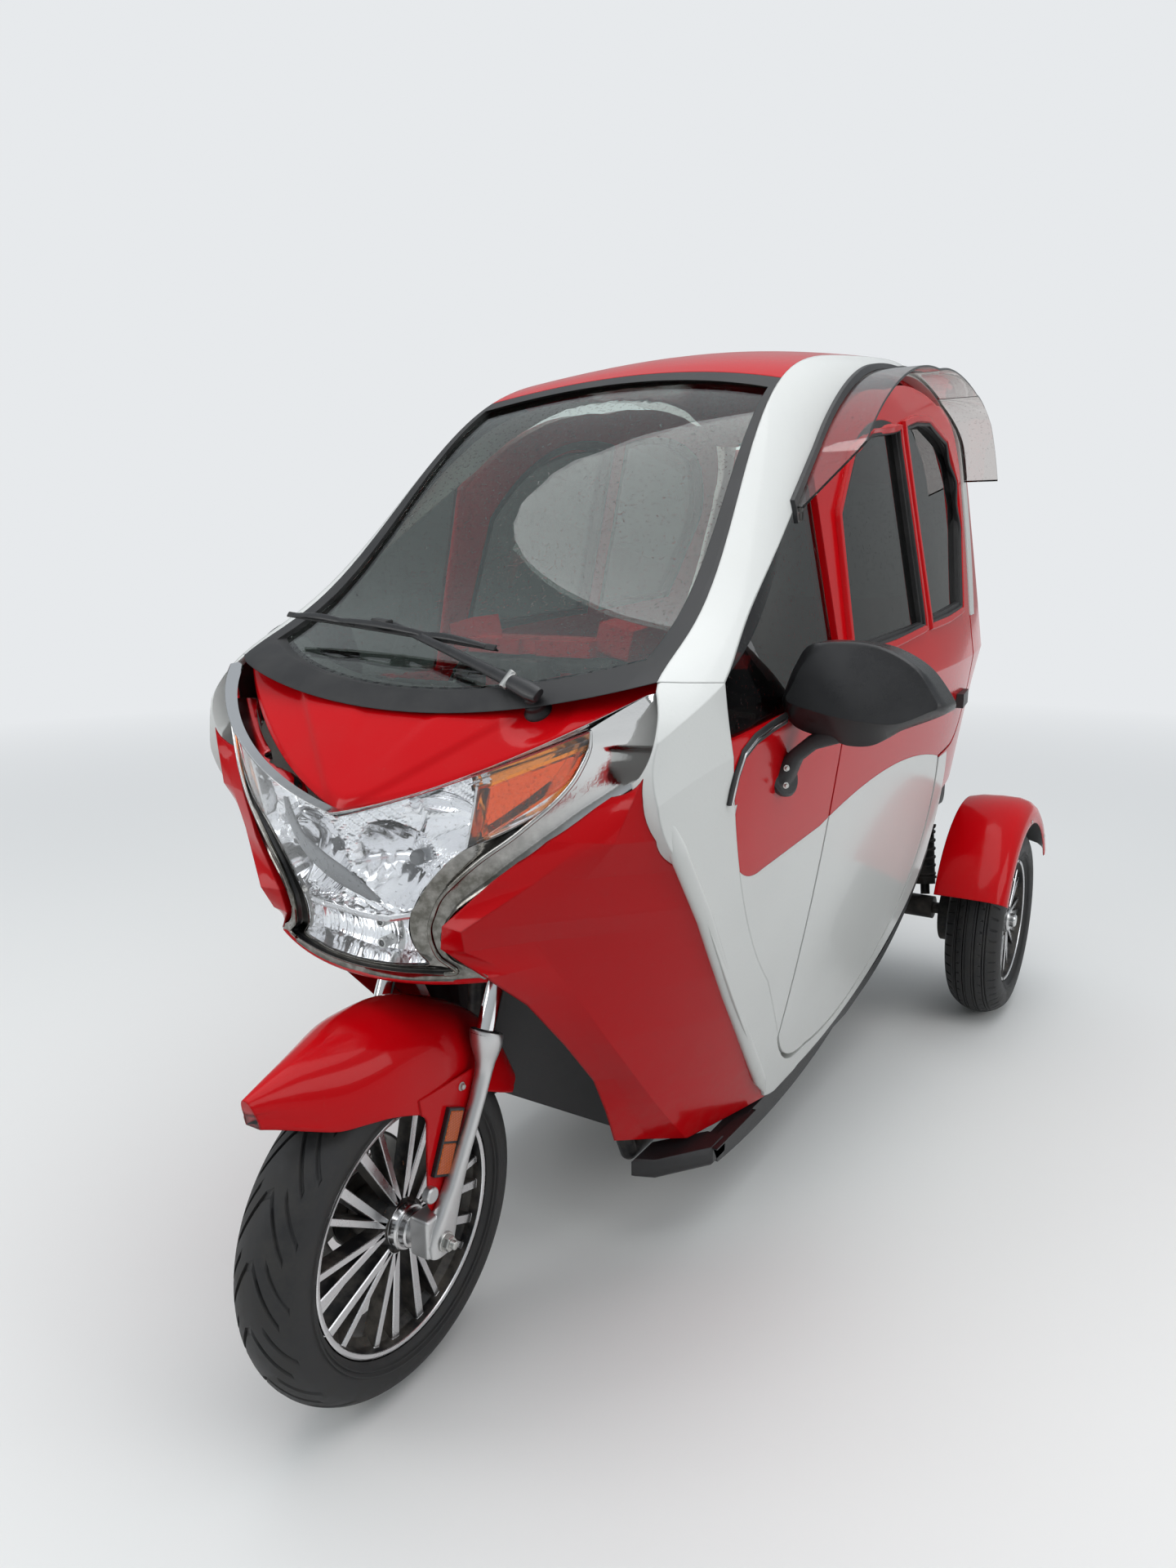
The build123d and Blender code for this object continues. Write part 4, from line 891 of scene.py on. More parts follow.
# %% Reflector
def lamp_depth(x, z):
    """How far the mirror lies behind the lens."""
    side = abs(x)
    r = hypot(side - 0.070, z - 0.802)
    bowl = 0.098 * (1 - (r / 0.070) ** 2) if r < 0.070 else 0.0
    if r > 0.024:
        bowl += 0.0016 * abs(sin((side - 0.070) * pi / 0.011)) * ease(r, 0.024, 0.034)
    outer_r = hypot((side - 0.142) * 0.9, z - 0.868)
    outer = 0.060 * (1 - (outer_r / 0.052) ** 2) if outer_r < 0.052 else 0.0
    outer += 0.0012 * abs(sin((z - 0.868 + side * 0.4) * pi / 0.010)) if outer > 0.01 else 0.0
    low = 0.0
    if z < 0.726 and side < 0.104:
        low = 0.012 + 0.034 * sqrt(max(0.0, 1 - ((z - 0.694) / 0.036) ** 2)) * (1 - (side / 0.125) ** 4)
        low += 0.0018 * abs(sin(x * pi / 0.0075))
    wing = 0.034 if side > 0.186 else 0.0
    base = 0.018 + 0.004 * ((z * 60 + side * 40) % 1.0 > 0.5)
    return max(bowl, outer, low, wing, base)


kit = Kit()
rows = []
for x in shares(191, -0.314, 0.314):
    top = height_at(V_EDGE, abs(x)) - 0.002
    foot = height_at(FOOT_EDGE, abs(x)) if abs(x) < 0.108 else height_at(SIDE_EDGE, abs(x))
    foot = min(foot + 0.002, top - 0.001)
    row = [on_nose(x, foot, 0.005)]
    for z in shares(97, foot, top):
        near = min(z - foot, top - z) + 0.0001
        row.append(on_nose(x, z, min(lamp_depth(x, z), 0.006 + near * 6)))
    row.append(on_nose(x, top, 0.005))
    rows.append(row)
kit.grid(rows)
reflector = kit.done("headlamp_mirror_bowls", "frame", mirror_chrome, sharp=24)
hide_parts("headlamp_reflector")
print("reflector faces", len(reflector.data.polygons))

# %% [markdown]
# Each bulb is a frosted glass tube with a dark cap on its end, held in a ring of cooling fins. A matt grey blade
# sweeps across the bowls as a styling piece, and the lower lamp has a bright brow and two small screw sockets.

# %% Bulbs, blade and brow
kit = Kit()
for side in (-1, 1):
    centre = Vector((side * 0.070, -0.884, 0.802))
    kit.turn([(-0.004, 0.012), (-0.004, 0.0215), (0.006, 0.0225), (0.0085, 0.0205), (0.0085, 0.013), (0.002, 0.012)],
             centre, -Y, 40, 0)
    for k in range(22):
        t = 2 * pi * k / 22
        out = Vector((cos(t), 0, sin(t)))
        lean = Matrix((out, Y, out.cross(Y))).transposed()
        kit.slab(centre + out * 0.0172 - Y * 0.009, (0.0065, 0.007, 0.0016), lean, 0.0004, 0)
    kit.turn([(0.0, 0.0098), (0.020, 0.0098), (0.022, 0.0104)], centre, -Y, 28, 1, ends=False)
    kit.turn([(0.021, 0.0106), (0.027, 0.0106), (0.031, 0.0090), (0.033, 0.0045), (0.0334, 0.0004)], centre, -Y, 28, 2)
bulbs = kit.done("headlamp_bulbs", "frame", mirror_chrome, frosted_glass, matt_grey)
kit = Kit()
# How far along the blade, then its middle's x and z and its half width
BLADE = [(0.0, -0.121, 0.872, 0.006), (0.2, -0.117, 0.842, 0.011), (0.4, -0.098, 0.812, 0.014),
         (0.6, -0.054, 0.787, 0.016), (0.8, -0.004, 0.768, 0.014), (1.0, 0.040, 0.748, 0.004)]
rows = []
for s in shares(25):
    x, z, half = through(BLADE, s)
    x1, z1, _ = through(BLADE, min(s + 0.02, 1.0)) if s < 0.98 else through(BLADE, 1.0)
    x0, z0, _ = through(BLADE, s - 0.02) if s > 0.02 else through(BLADE, 0.0)
    off = Vector((-(z1 - z0), x1 - x0)).normalized() * half
    rows.append([on_nose(x + off.x * a, z + off.y * a, 0.018 - b) for a, b in
                 ((-1, 0), (-0.6, 0.003), (0, 0.0045), (0.6, 0.003), (1, 0))])
kit.grid(rows)
blade = kit.done("headlamp_blade", "frame", matt_grey, sharp=50)
thick = blade.modifiers.new("thick", "SOLIDIFY")
thick.thickness = 0.0022
kit = Kit()
BROW = [(0.0, -0.112, 0.716), (0.15, -0.094, 0.729), (0.5, -0.030, 0.730), (0.8, 0.050, 0.728), (0.93, 0.094, 0.737),
        (1.0, 0.100, 0.722)]
path = [on_nose(*through(BROW, s), 0.0095) for s in shares(41)]
kit.strip(path, [(-0.0052, -0.0030), (0.0052, -0.0030), (0.0052, 0.0008), (0.002, 0.0032), (-0.003, 0.0030)],
          [Vector((0, -1, 0.25))] * len(path))
for x, z in ((0.033, 0.716), (0.030, 0.684)):
    place = on_nose(x, z, 0.040)
    kit.turn([(0, 0.0075), (0.020, 0.0078), (0.0225, 0.0066), (0.0225, 0.0048), (0.014, 0.0045), (0.013, 0.001)],
             place, -Y, 24, 1)
    kit.turn([(0.014, 0.0030), (0.021, 0.0028), (0.022, 0.001)], place, -Y, 12, 2)
for side in (-1, 1):
    wall = [on_nose(side * x, z, 0.010) for x, z in ((0.199, 0.919), (0.193, 0.893), (0.186, 0.866), (0.178, 0.838))]
    kit.strip(wall, [(-0.0016, -0.022), (0.0016, -0.022), (0.0016, 0.004), (-0.0016, 0.004)],
              [Vector((0, -1, 0.1))] * 4)
brow = kit.done("headlamp_brow_and_sockets", "frame", chrome, zinc_steel, smooth_black)
print("lamp pieces", bulbs.name, blade.name, brow.name)

# %% [markdown]
# ## Bright trim round the lamp
# The chrome surround is a moulded sheet that runs from the white pillar down to the lamp's foot. Going outwards from
# the lens it has a black groove, a round bead and a hollow band up to the red fairing, and its tail near the pillar
# folds into two steps. The table gives the lens's edge, the outer edge, where the bead lies between them, and how
# deep the band is hollowed, all the way round from the tail to the middle of the foot.

# %% Trim
TRIM = [(0, 0.3180, 0.9880, 0.3720, 1.0290, 0.05, -0.002, -0.0075),
        (1, 0.3185, 0.9860, 0.3840, 0.9990, 0.05, -0.002, -0.0085),
        (2, 0.3170, 0.9720, 0.3850, 0.9640, 0.05, -0.001, -0.0085),
        (2.25, 0.3155, 0.9650, 0.3830, 0.9520, 0.05, 0.004, -0.0020),
        (3, 0.3100, 0.9500, 0.3760, 0.9320, 0.05, 0.006, -0.0020),
        (4, 0.3000, 0.9270, 0.3500, 0.9105, 0.05, 0.008, -0.0030),
        (5, 0.2850, 0.9050, 0.3220, 0.8870, 0.05, 0.009, -0.0030),
        (6, 0.2640, 0.8840, 0.2920, 0.8620, 0.08, 0.008, -0.0030),
        (7, 0.2260, 0.8600, 0.2580, 0.8340, 0.28, 0.007, -0.0030),
        (8, 0.1810, 0.8370, 0.2220, 0.8040, 0.42, 0.006, -0.0030),
        (9, 0.1550, 0.8160, 0.1920, 0.7790, 0.46, 0.006, -0.0030),
        (10, 0.1280, 0.7860, 0.1620, 0.7540, 0.50, 0.005, -0.0030),
        (11, 0.1080, 0.7570, 0.1460, 0.7330, 0.60, 0.004, -0.0030),
        (12, 0.0980, 0.7410, 0.1390, 0.7150, 0.64, 0.003, -0.0030),
        (13, 0.0940, 0.7150, 0.1410, 0.6960, 0.66, 0.003, -0.0030),
        (14, 0.0990, 0.6900, 0.1540, 0.6800, 0.60, 0.003, -0.0030),
        (15, 0.1140, 0.6710, 0.1880, 0.6580, 0.50, 0.003, -0.0030),
        (16, 0.0800, 0.6650, 0.1200, 0.6475, 0.45, 0.002, -0.0030),
        (17, 0.0400, 0.6615, 0.0600, 0.6420, 0.40, 0.002, -0.0030),
        (18, 0.0000, 0.6600, 0.0000, 0.6400, 0.40, 0.002, -0.0030)]
kit = Kit()
rows = []
beads = []
for s in shares(145, 0, 18):
    ax, az, bx, bz, bead, hollow, edge = through(TRIM, s)
    row = [on_nose(ax - 0.002, az, 0.010)]
    for t in (0.0, 0.35, 0.8):
        t *= bead
        row.append(on_nose(ax + (bx - ax) * t, az + (bz - az) * t, -0.001 + 0.005 * ease(t, 0, bead * 0.3)))
    for u in shares(11):
        t = bead + (1 - bead) * u
        drop = -0.004 + (edge + 0.004) * u + hollow * 4 * u * (1 - u)
        row.append(on_nose(ax + (bx - ax) * t, az + (bz - az) * t, drop))
    row.append(on_nose(bx * 1.004, bz, 0.014))
    beads.append(on_nose(ax + (bx - ax) * bead, az + (bz - az) * bead, -0.0045))
    rows.append(row)
kit.grid(rows, lambda i, j: 1 if j == 3 else 0)
kit.tube(beads[6:124], [0.0012 + 0.0022 * ease(i, 0, 20) for i in range(118)], 10)
TOP_STRIP = line((0, 0.872), ((0.190, 0.932), (0.372, 1.0295)), fine=36)
rows = []
for i, top in enumerate(TOP_STRIP):
    x = top.x * 0.318 / 0.372
    z = height_at(V_EDGE, x)
    slope = [on_nose(x + (top.x - x) * t, z + (top.y - z) * t, 0.0015 - 0.0085 * t ** 0.6) for t in shares(5)]
    rows.append([on_nose(x, z - 0.001, 0.006)] + slope + [on_nose(top.x, top.y + 0.002, 0.010)])
kit.grid(rows)
kit.twin()
trim_chrome = Finish("trim_chrome", metallic=1.0)
# Below z 0.80 the chrome's colour is a painted reflection: a dark mottled grey that stands for dark ground mirrored in
# the chrome. It ramps up to the bright chrome colour by z 0.94.
upper = trim_chrome.between(trim_chrome.height(), 0.80, 0.94)
mottle = trim_chrome.between(trim_chrome.noise(60.0, 5.0, 0.65), 0.4, 0.7)
dull_and_painted_reflection = trim_chrome.mix(mottle, (0.13, 0.125, 0.11, 1), (0.30, 0.29, 0.27, 1))
trim_chrome.set(color=trim_chrome.mix(upper, dull_and_painted_reflection, (0.66, 0.66, 0.66, 1)), roughness=0.05 + mottle * 0.05)
trim_chrome.bump(mottle, 0.0001, soft_edge=0.0015)
trim = kit.done("lamp_bright_trim", "frame", trim_chrome.material, smooth_black, sharp=40)
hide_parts("lamp_trim")
kit = Kit()
lip = [on_nose(x, 0.6395 + 0.060 * (x / 0.19) ** 2 * 0.28, 0.000) for x in shares(31, -0.186, 0.186)]
kit.strip(lip, [(-0.0035, -0.014), (0.0035, -0.014), (0.0035, 0.002), (0.001, 0.004), (-0.0035, 0.002)],
          [Vector((0, -1, 0))] * 31)
kit.done("lamp_foot_lip", "frame", red_paint)
print("trim faces", len(trim.data.polygons))

# %% [markdown]
# ## Bonnet
# The bonnet is a short sloping panel whose front edge follows the lamp's V. A raised middle field spreads from the
# tip to the windscreen between two creases, and the crease is what catches the sky. The panel is a grid between two
# edge lines, and its relief is a soft step across each crease.

# %% Bonnet
def bonnet_relief(x, z):
    """Height of the middle field, which widens from the tip to the screen, and of the dip round the wiper's boot."""
    crease = 0.030 + (z - 0.885) * 1.55
    field = 0.0045 * ease(crease - abs(x), -0.008, 0.010)
    inner = 0.0030 * ease(abs(x) - (z - 0.90) * 0.62, 0.0, 0.030) * ease(z, 0.90, 0.98)
    boot = 0.004 * ease(0.052 - hypot(x - 0.222, (z - 1.000) * 1.2), 0.0, 0.020)
    return field + inner - boot


kit = Kit()
FRONT_LINE = line((0, 0.872), ((0.190, 0.932), (0.374, 1.030)), fine=30)
SEAL_LINE = line((-0.369, 1.041), ((0, 0.988), (0.369, 1.041)), fine=60)
rows = []
for x in shares(121, -0.369, 0.369):
    low = height_at(FRONT_LINE, abs(x)) + 0.001
    high = max(height_at(SEAL_LINE, x) + 0.004, low + 0.002)
    row = [on_bonnet(x, low, -0.012)]
    for t in shares(40):
        z = low + (high - low) * t
        hem = -0.0025 * ease(0.006 - (z - low), 0.0, 0.006)
        row.append(on_bonnet(x, z, bonnet_relief(x, z) * ease(t, 0.0, 0.12) + hem))
    rows.append(row)
kit.grid(rows)
bonnet = kit.done("bonnet_creased", "frame", red_paint, sharp=60)
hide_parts("bonnet")
print("bonnet faces", len(bonnet.data.polygons))

# %% [markdown]
# ## Fork legs
# A scooter fork has a chromed stanchion that slides in a cast alloy leg. The casting is the part with character: a
# funnel at the top for the seals, a slim body, and a flat foot that clamps the axle. It is made as a stack of rings
# along a bent line, where each ring is a rounded square with its own width and depth. That gives the funnel, the
# slim part and the soft corners of a casting in one skin.

# %% Cast legs
FORK_X = 0.100


def rake_point(x, along, forward=0.0):
    """A point on the fork's rake, from the axle up, moved forward square to it."""
    return FRONT_AXLE + X * x + RAKE_UP * along - RAKE_BACK * forward


def soft_square(centre, half_x, half_y, power, steps=28):
    """A level ring between a circle and a square."""
    ring = []
    for i in range(steps):
        c, s = cos(2 * pi * i / steps), sin(2 * pi * i / steps)
        ring.append(centre + Vector((half_x * abs(c) ** power * (1 if c > 0 else -1),
                                     half_y * abs(s) ** power * (1 if s > 0 else -1), 0)))
    return ring


# The leg's middle line and size: y, z, half width and half depth
LEG = [(-0.9290, 0.2310, 0.0090, 0.0180), (-0.9300, 0.2340, 0.0120, 0.0230), (-0.9290, 0.2520, 0.0125, 0.0260),
       (-0.9210, 0.2760, 0.0125, 0.0250), (-0.9080, 0.3000, 0.0125, 0.0200), (-0.8960, 0.3200, 0.0122, 0.0155),
       (-0.8790, 0.3520, 0.0120, 0.0135), (-0.8560, 0.3900, 0.0120, 0.0130), (-0.8340, 0.4280, 0.0122, 0.0130),
       (-0.8190, 0.4600, 0.0130, 0.0138), (-0.8140, 0.4750, 0.0150, 0.0158), (-0.8120, 0.4870, 0.0190, 0.0195),
       (-0.8110, 0.4980, 0.0225, 0.0230), (-0.8105, 0.5080, 0.0240, 0.0245), (-0.8100, 0.5180, 0.0242, 0.0247),
       (-0.8098, 0.5205, 0.0232, 0.0237), (-0.8098, 0.5210, 0.0190, 0.0195)]
kit = Kit()
rows = []
for i, (y, z, half_x, half_y) in enumerate(LEG):
    tip = max(0.0, (z - 0.47) / 0.05) * 0.42
    ring = soft_square(Vector((FORK_X, y, z)), half_x, half_y, 0.62 + 0.38 * clip((z - 0.30) / 0.12))
    rows.append([p - Z * (p.y - y) * tip for p in ring])
kit.solid(rows)
kit.slab((FORK_X - 0.015, -0.934, 0.262), (0.034, 0.046, 0.060), soft=0.006)
kit.turn([(-0.030, 0.017), (-0.012, 0.019), (-0.012, 0.010)], FRONT_AXLE + X * FORK_X - X * 0.012, X, 28)
kit.turn([(0, 0.012), (0.010, 0.012), (0.012, 0.010)], Vector((FORK_X - 0.014, -0.936, 0.322)), X, 20)
kit.twin()
legs = kit.done("fork_cast_legs", "steering", cast_alloy, sharp=44, round_edges=0.0012)
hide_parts("fork_legs")
kit = Kit()
for side in (1, -1):
    out = FRONT_AXLE + X * side * (FORK_X + 0.0125)
    axis = X * side
    kit.turn([(-0.001, 0.0145), (0.0022, 0.0145), (0.003, 0.0135), (0.003, 0.006)], out, axis, 32)
    kit.turn([(0.003, 0.0115), (0.010, 0.0115), (0.0118, 0.0100), (0.0118, 0.005)], out, axis, 6)
    stub = [(0.0118 + 0.0008 * i, 0.0062 - 0.0006 * (i % 2)) for i in range(9)]
    kit.turn(stub + [(0.0190, 0.0045)], out, axis, 24)
kit.done("front_axle_nuts", "steering", zinc_steel)
kit = Kit()
kit.turn([(0.205, 0.0198), (0.2055, 0.0215), (0.212, 0.0215), (0.2135, 0.0165), (0.2135, 0.0140)],
         rake_point(FORK_X, 0.0815), RAKE_UP, 36, ends=False)
kit.twin()
kit.done("fork_dust_seals", "steering", rubber_black)
print("leg faces", len(legs.data.polygons))

# %% [markdown]
# ## Stanchions and clamp
# The stanchions run from inside the castings to a forged clamp under the nose, and the steering column goes up from
# that clamp to the handlebar. The clamp is a slab with round ears, pinched on the tubes by bolts.

# %% Stanchions and clamp
kit = Kit()
kit.turn([(0.270, 0.0100), (0.271, 0.0138), (0.543, 0.0138), (0.545, 0.0120)], rake_point(FORK_X, 0.0), RAKE_UP, 40)
kit.twin()
stanchions = kit.done("fork_stanchions", "steering", mirror_chrome)
kit = Kit()
clamp_at = rake_point(0.0, 0.520)
CLAMP = line((0.0, 0.030), (0.100, 0.030), ((0.130, 0.0), (0.100, -0.030)), (0.045, -0.044), (0.034, -0.064),
             (0.0, -0.064), fine=10)
half = [Vector((p.x, p.y, 0)) for p in CLAMP]
loop = half + [Vector((-p.x, p.y, 0)) for p in reversed(half[1:-1])]


def clamp_ring(lift, shrink):
    return [clamp_at + X * p.x * shrink - RAKE_BACK * p.y * shrink + RAKE_UP * lift for p in loop]


kit.solid([clamp_ring(-0.019, 0.97), clamp_ring(-0.017, 1.0), clamp_ring(0.017, 1.0), clamp_ring(0.019, 0.97)])
column_foot = rake_point(0.0, 0.540, -0.033)
kit.tube([column_foot, column_foot + RAKE_UP * 0.300], 0.0158, 28)
for side in (1, -1):
    kit.bolt(rake_point(side * 0.122, 0.520, 0.024), X * side, 0.009, 0.006)
clamp = kit.done("fork_clamp_and_column", "steering", black_steel, round_edges=0.001)
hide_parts("fork_tubes")
print("clamp faces", len(clamp.data.polygons))

# %% [markdown]
# ## Front fender
# The fender is a long snout with a dome over the tyre. Its sides stand upright under a crease, and in front of each
# fork leg a flat stay runs down to the foot. The shape is a short table of stations from the tip to the tail: the
# middle line's height, the crease and the lower edge. Between them each row is a part of a superellipse, which is
# fuller than a circle, as a moulded dome is.

# %% Fender
# Middle line's y and z, the crease's x, y and z, the lower edge's x, y and z
STATIONS = [(-1.166, 0.546, 0.012, -1.158, 0.520, 0.013, -1.155, 0.505),
            (-1.140, 0.553, 0.024, -1.130, 0.508, 0.025, -1.128, 0.495),
            (-1.100, 0.563, 0.040, -1.098, 0.490, 0.041, -1.096, 0.482),
            (-1.060, 0.571, 0.056, -1.066, 0.485, 0.057, -1.064, 0.471),
            (-1.020, 0.578, 0.070, -1.030, 0.490, 0.071, -1.028, 0.468),
            (-0.990, 0.582, 0.080, -0.992, 0.491, 0.081, -0.995, 0.464),
            (-0.960, 0.584, 0.083, -0.962, 0.485, 0.084, -0.965, 0.454),
            (-0.935, 0.585, 0.084, -0.931, 0.477, 0.085, -0.938, 0.443),
            (-0.905, 0.583, 0.084, -0.905, 0.475, 0.085, -0.910, 0.434),
            (-0.872, 0.576, 0.083, -0.880, 0.473, 0.084, -0.884, 0.430),
            (-0.822, 0.556, 0.080, -0.848, 0.466, 0.081, -0.856, 0.426),
            (-0.766, 0.526, 0.075, -0.800, 0.447, 0.076, -0.812, 0.418),
            (-0.720, 0.486, 0.071, -0.756, 0.424, 0.072, -0.770, 0.398),
            (-0.695, 0.446, 0.068, -0.726, 0.399, 0.069, -0.736, 0.380),
            (-0.672, 0.398, 0.062, -0.694, 0.372, 0.063, -0.699, 0.362)]
FENDER_SKIN = 0.0035


def fender_row(station, inward=0.0):
    """One row of the fender from the left lower edge over the top to the right one."""
    y, z, crease_x, crease_y, crease_z, low_x, low_y, low_z = station
    half = []
    fullness = 1.12 - 0.30 * clip((y + 1.166) / 0.20)
    for t in shares(15, 0.0, pi / 2):
        high = cos(t) ** fullness if cos(t) > 1e-6 else 0.0
        half.append(Vector((crease_x * sin(t) ** 0.90, y * high + crease_y * (1 - high),
                            z * high + crease_z * (1 - high))))
    half.append(Vector(((crease_x * 2 + low_x) / 3 + 0.0012, (crease_y * 2 + low_y) / 3, (crease_z * 2 + low_z) / 3)))
    half.append(Vector((low_x, low_y, low_z)))
    middle = Vector((0, -0.932, 0.30))
    moved = []
    for p in half:
        toward = (middle - Vector((0, p.y, p.z))).normalized() * (p.x < crease_x * 0.94)
        moved.append(Vector((p.x - inward * min(1.0, p.x / 0.05), p.y, p.z)) + toward * inward)
    return moved[::-1] + [Vector((-p.x, p.y, p.z)) for p in moved[1:]]


places = [(i,) + row for i, row in enumerate(STATIONS)]
fine_rows = [through(places, t) for t in shares(53, 0, len(STATIONS) - 1)]
kit = Kit()
outer = [fender_row(row) for row in fine_rows]
inner = [fender_row(row, FENDER_SKIN) for row in fine_rows]
skin = kit.grid(outer)
lining = kit.grid(inner, 1)
kit.hem(skin, lining, start=False)
kit.lid(skin[0])
kit.lid(lining[0], 1)
kit.lid((skin[0][0], skin[0][-1], lining[0][-1], lining[0][0]))
STAY = line((-0.946, 0.468), (-0.942, 0.443), ((-0.9345, 0.436), (-0.932, 0.426)), (-0.9335, 0.400), (-0.936, 0.312),
            ((-0.931, 0.294), (-0.916, 0.283)), (-0.899, 0.274), (-0.884, 0.286), (-0.858, 0.350), (-0.834, 0.428),
            (-0.828, 0.466), fine=6)
for side in (1, -1):
    front_face = [Vector((side * 0.0880, p.x, p.y)) for p in STAY]
    back_face = [Vector((side * 0.0845, p.x, p.y)) for p in STAY]
    kit.solid([back_face, front_face])
fender = kit.done("front_fender_moulding", "steering", red_paint, black_plastic, sharp=32, round_edges=0.0012)
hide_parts("front_fender")
print("fender faces", len(fender.data.polygons))

# %% [markdown]
# ## Reflectors and stay bolts
# An amber reflector is a flat lens of small prisms in a black frame, in two halves with a bar between. The prisms
# are a finish, a fine lattice in the bump, and the frame and lens are real edges. Each stay is held by two bolts.

# %% Reflectors and bolts
prism_amber = Finish("prism_amber", specular=0.5, coat=0.3, coat_roughness=0.05)
lattice = prism_amber.add("TexVoronoi", {"feature": "F1", "distance": "MANHATTAN"},
                          {"Vector": prism_amber.place, "Scale": 260.0, "Randomness": 0.0})
glint = prism_amber.between(lattice, 0.1, 0.75)
prism_amber.set(color=prism_amber.mix(glint, (0.90, 0.20, 0.010, 1), (0.42, 0.065, 0.004, 1)),
                roughness=0.18 + glint * 0.2)
prism_amber.bump(glint, 0.0006)


def on_rake(x, y, z, along, back):
    """A point moved along the rake and square to it in the side view."""
    return Vector((x, y, z)) + RAKE_UP * along + RAKE_BACK * back


kit = Kit()
for side in (1, -1):
    for low, high in ((-0.0455, -0.0005), (0.0005, 0.0455)):
        rings = []
        for x, inset, half in ((0.0955, 0.001, 0.0145), (0.0972, 0.002, 0.0135)):
            loop = ((low + inset, -half), (high - inset, -half), (high - inset, half), (low + inset, half))
            rings.append([on_rake(side * x, -0.8945, 0.383, a, b) for a, b in loop])
        kit.solid(rings)
lenses = kit.done("fender_reflector_lenses", "steering", prism_amber.material)
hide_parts("fender_reflectors")
kit = Kit()
lean_turn = Matrix.Rotation(-RAKE, 3, "X")
for side in (1, -1):
    kit.slab((side * 0.0915, -0.8945, 0.383), (0.0085, 0.036, 0.097), lean_turn, soft=0.002)
frames = kit.done("fender_reflector_frames", "steering", smooth_black)
kit = Kit()
for side in (1, -1):
    kit.bolt((side * 0.0878, -0.9250, 0.3165), X * side, 0.0085, 0.0055)
    kit.bolt((side * 0.0878, -0.8560, 0.4500), X * side, 0.0085, 0.0055)
bolts = kit.done("fender_stay_bolts", "steering", zinc_steel)
print("lens faces", len(lenses.data.polygons), "bolts", len(bolts.data.polygons))

# %% [markdown]
# ## Mirrors
# A mirror housing is a moulded shell with a flat leaning face, a crease under it, and a rim around the glass at the
# back. It is made as loops around the shell: the face, a rounding, the widest line, the back edge and the glass. The
# loops come from one closed table, smoothed, so each corner of the outline can be moved by itself.

# %% Mirrors
def closed_curve(table, steps):
    """Even points on a smooth closed curve through a table's rows."""
    wrapped = [(i,) + tuple(table[i % len(table)]) for i in range(-1, len(table) + 2)]
    return [through(wrapped, t) for t in shares(steps + 1, 0, len(table))[:-1]]


def bar(kit, path, sizes, up=Z, finish=0, power=0.75):
    """A bar with rounded corners along a path. Each point has its half width and half height."""
    path = [Vector(p) for p in path]
    rows = []
    for point, (side, lift), (wide, high) in zip(path, kit.follow(path, [up] * len(path)), sizes):
        rows.append([point + side * p.x + lift * p.y for p in soft_square(Vector(), wide, high, power, 16)])
    kit.solid(rows, finish)


# Around the shell from its inner end: the face's x and z, then the widest line's x and z
HOUSING = [(0.438, 0.996, 0.423, 0.984), (0.444, 1.014, 0.427, 1.006), (0.456, 1.044, 0.441, 1.042),
           (0.476, 1.068, 0.463, 1.071), (0.522, 1.074, 0.516, 1.075), (0.568, 1.067, 0.568, 1.069),
           (0.612, 1.045, 0.616, 1.045), (0.640, 1.012, 0.646, 1.010), (0.646, 0.998, 0.654, 0.992),
           (0.634, 0.991, 0.640, 0.981), (0.596, 0.974, 0.590, 0.958), (0.552, 0.973, 0.557, 0.937),
           (0.508, 0.977, 0.523, 0.933), (0.482, 0.982, 0.499, 0.939), (0.453, 0.988, 0.444, 0.953)]
FACE_Y, WIDEST_Y, BACK_Y = -0.554, -0.522, -0.480
kit = Kit()
loops = [[] for _ in range(6)]
for face_x, face_z, wide_x, wide_z in closed_curve(HOUSING, 75):
    face = Vector((face_x, FACE_Y + (face_z - 0.976) * 0.28, face_z))
    widest = Vector((wide_x, WIDEST_Y, wide_z))
    inward = (Vector((0.540, WIDEST_Y, 1.006)) - widest).normalized()
    places = [face, face.lerp(widest, 0.3) - inward * 0.0025 + Y * 0.001, widest, Vector((wide_x, BACK_Y, wide_z)),
              Vector((wide_x, BACK_Y + 0.002, wide_z)) + inward * 0.004,
              Vector((wide_x, BACK_Y - 0.002, wide_z)) + inward * 0.007]
    for loop, place in zip(loops, places):
        loop.append(place)
kit.solid(loops, last=1)
kit.twin()
housings = kit.done("mirror_housings", "frame", smooth_black, mirror_chrome, sharp=28, round_edges=0.0012)
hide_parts("mirrors")
kit = Kit()
bar(kit, [(0.418, -0.520, 0.872), (0.432, -0.520, 0.888), (0.446, -0.519, 0.912), (0.468, -0.516, 0.932),
          (0.502, -0.513, 0.948)], [(0.019, 0.026), (0.015, 0.019), (0.011, 0.013), (0.011, 0.012), (0.015, 0.014)], Y)
kit.turn([(-0.004, 0.030), (0.003, 0.031), (0.006, 0.027)], (0.427, -0.520, 0.880),
         Vector((0.9, -0.2, 0.3)).normalized(), 32)
for high in (0.872, 0.897):
    kit.bolt((0.441, -0.544, high), (0.75, -0.66, 0), 0.006, 0.005, 1)
kit.twin()
arms = kit.done("mirror_arms", "frame", black_plastic, zinc_steel, round_edges=0.001)
print("mirror faces", len(housings.data.polygons), "arm faces", len(arms.data.polygons))

# %% [markdown]
# ## Wiper
# A wiper is a shaft with a rubber boot, an arm of bent steel with a hinge, and a blade that hangs in small claws. The
# arm tapers to its tip, so it is a bar whose section changes along the way.

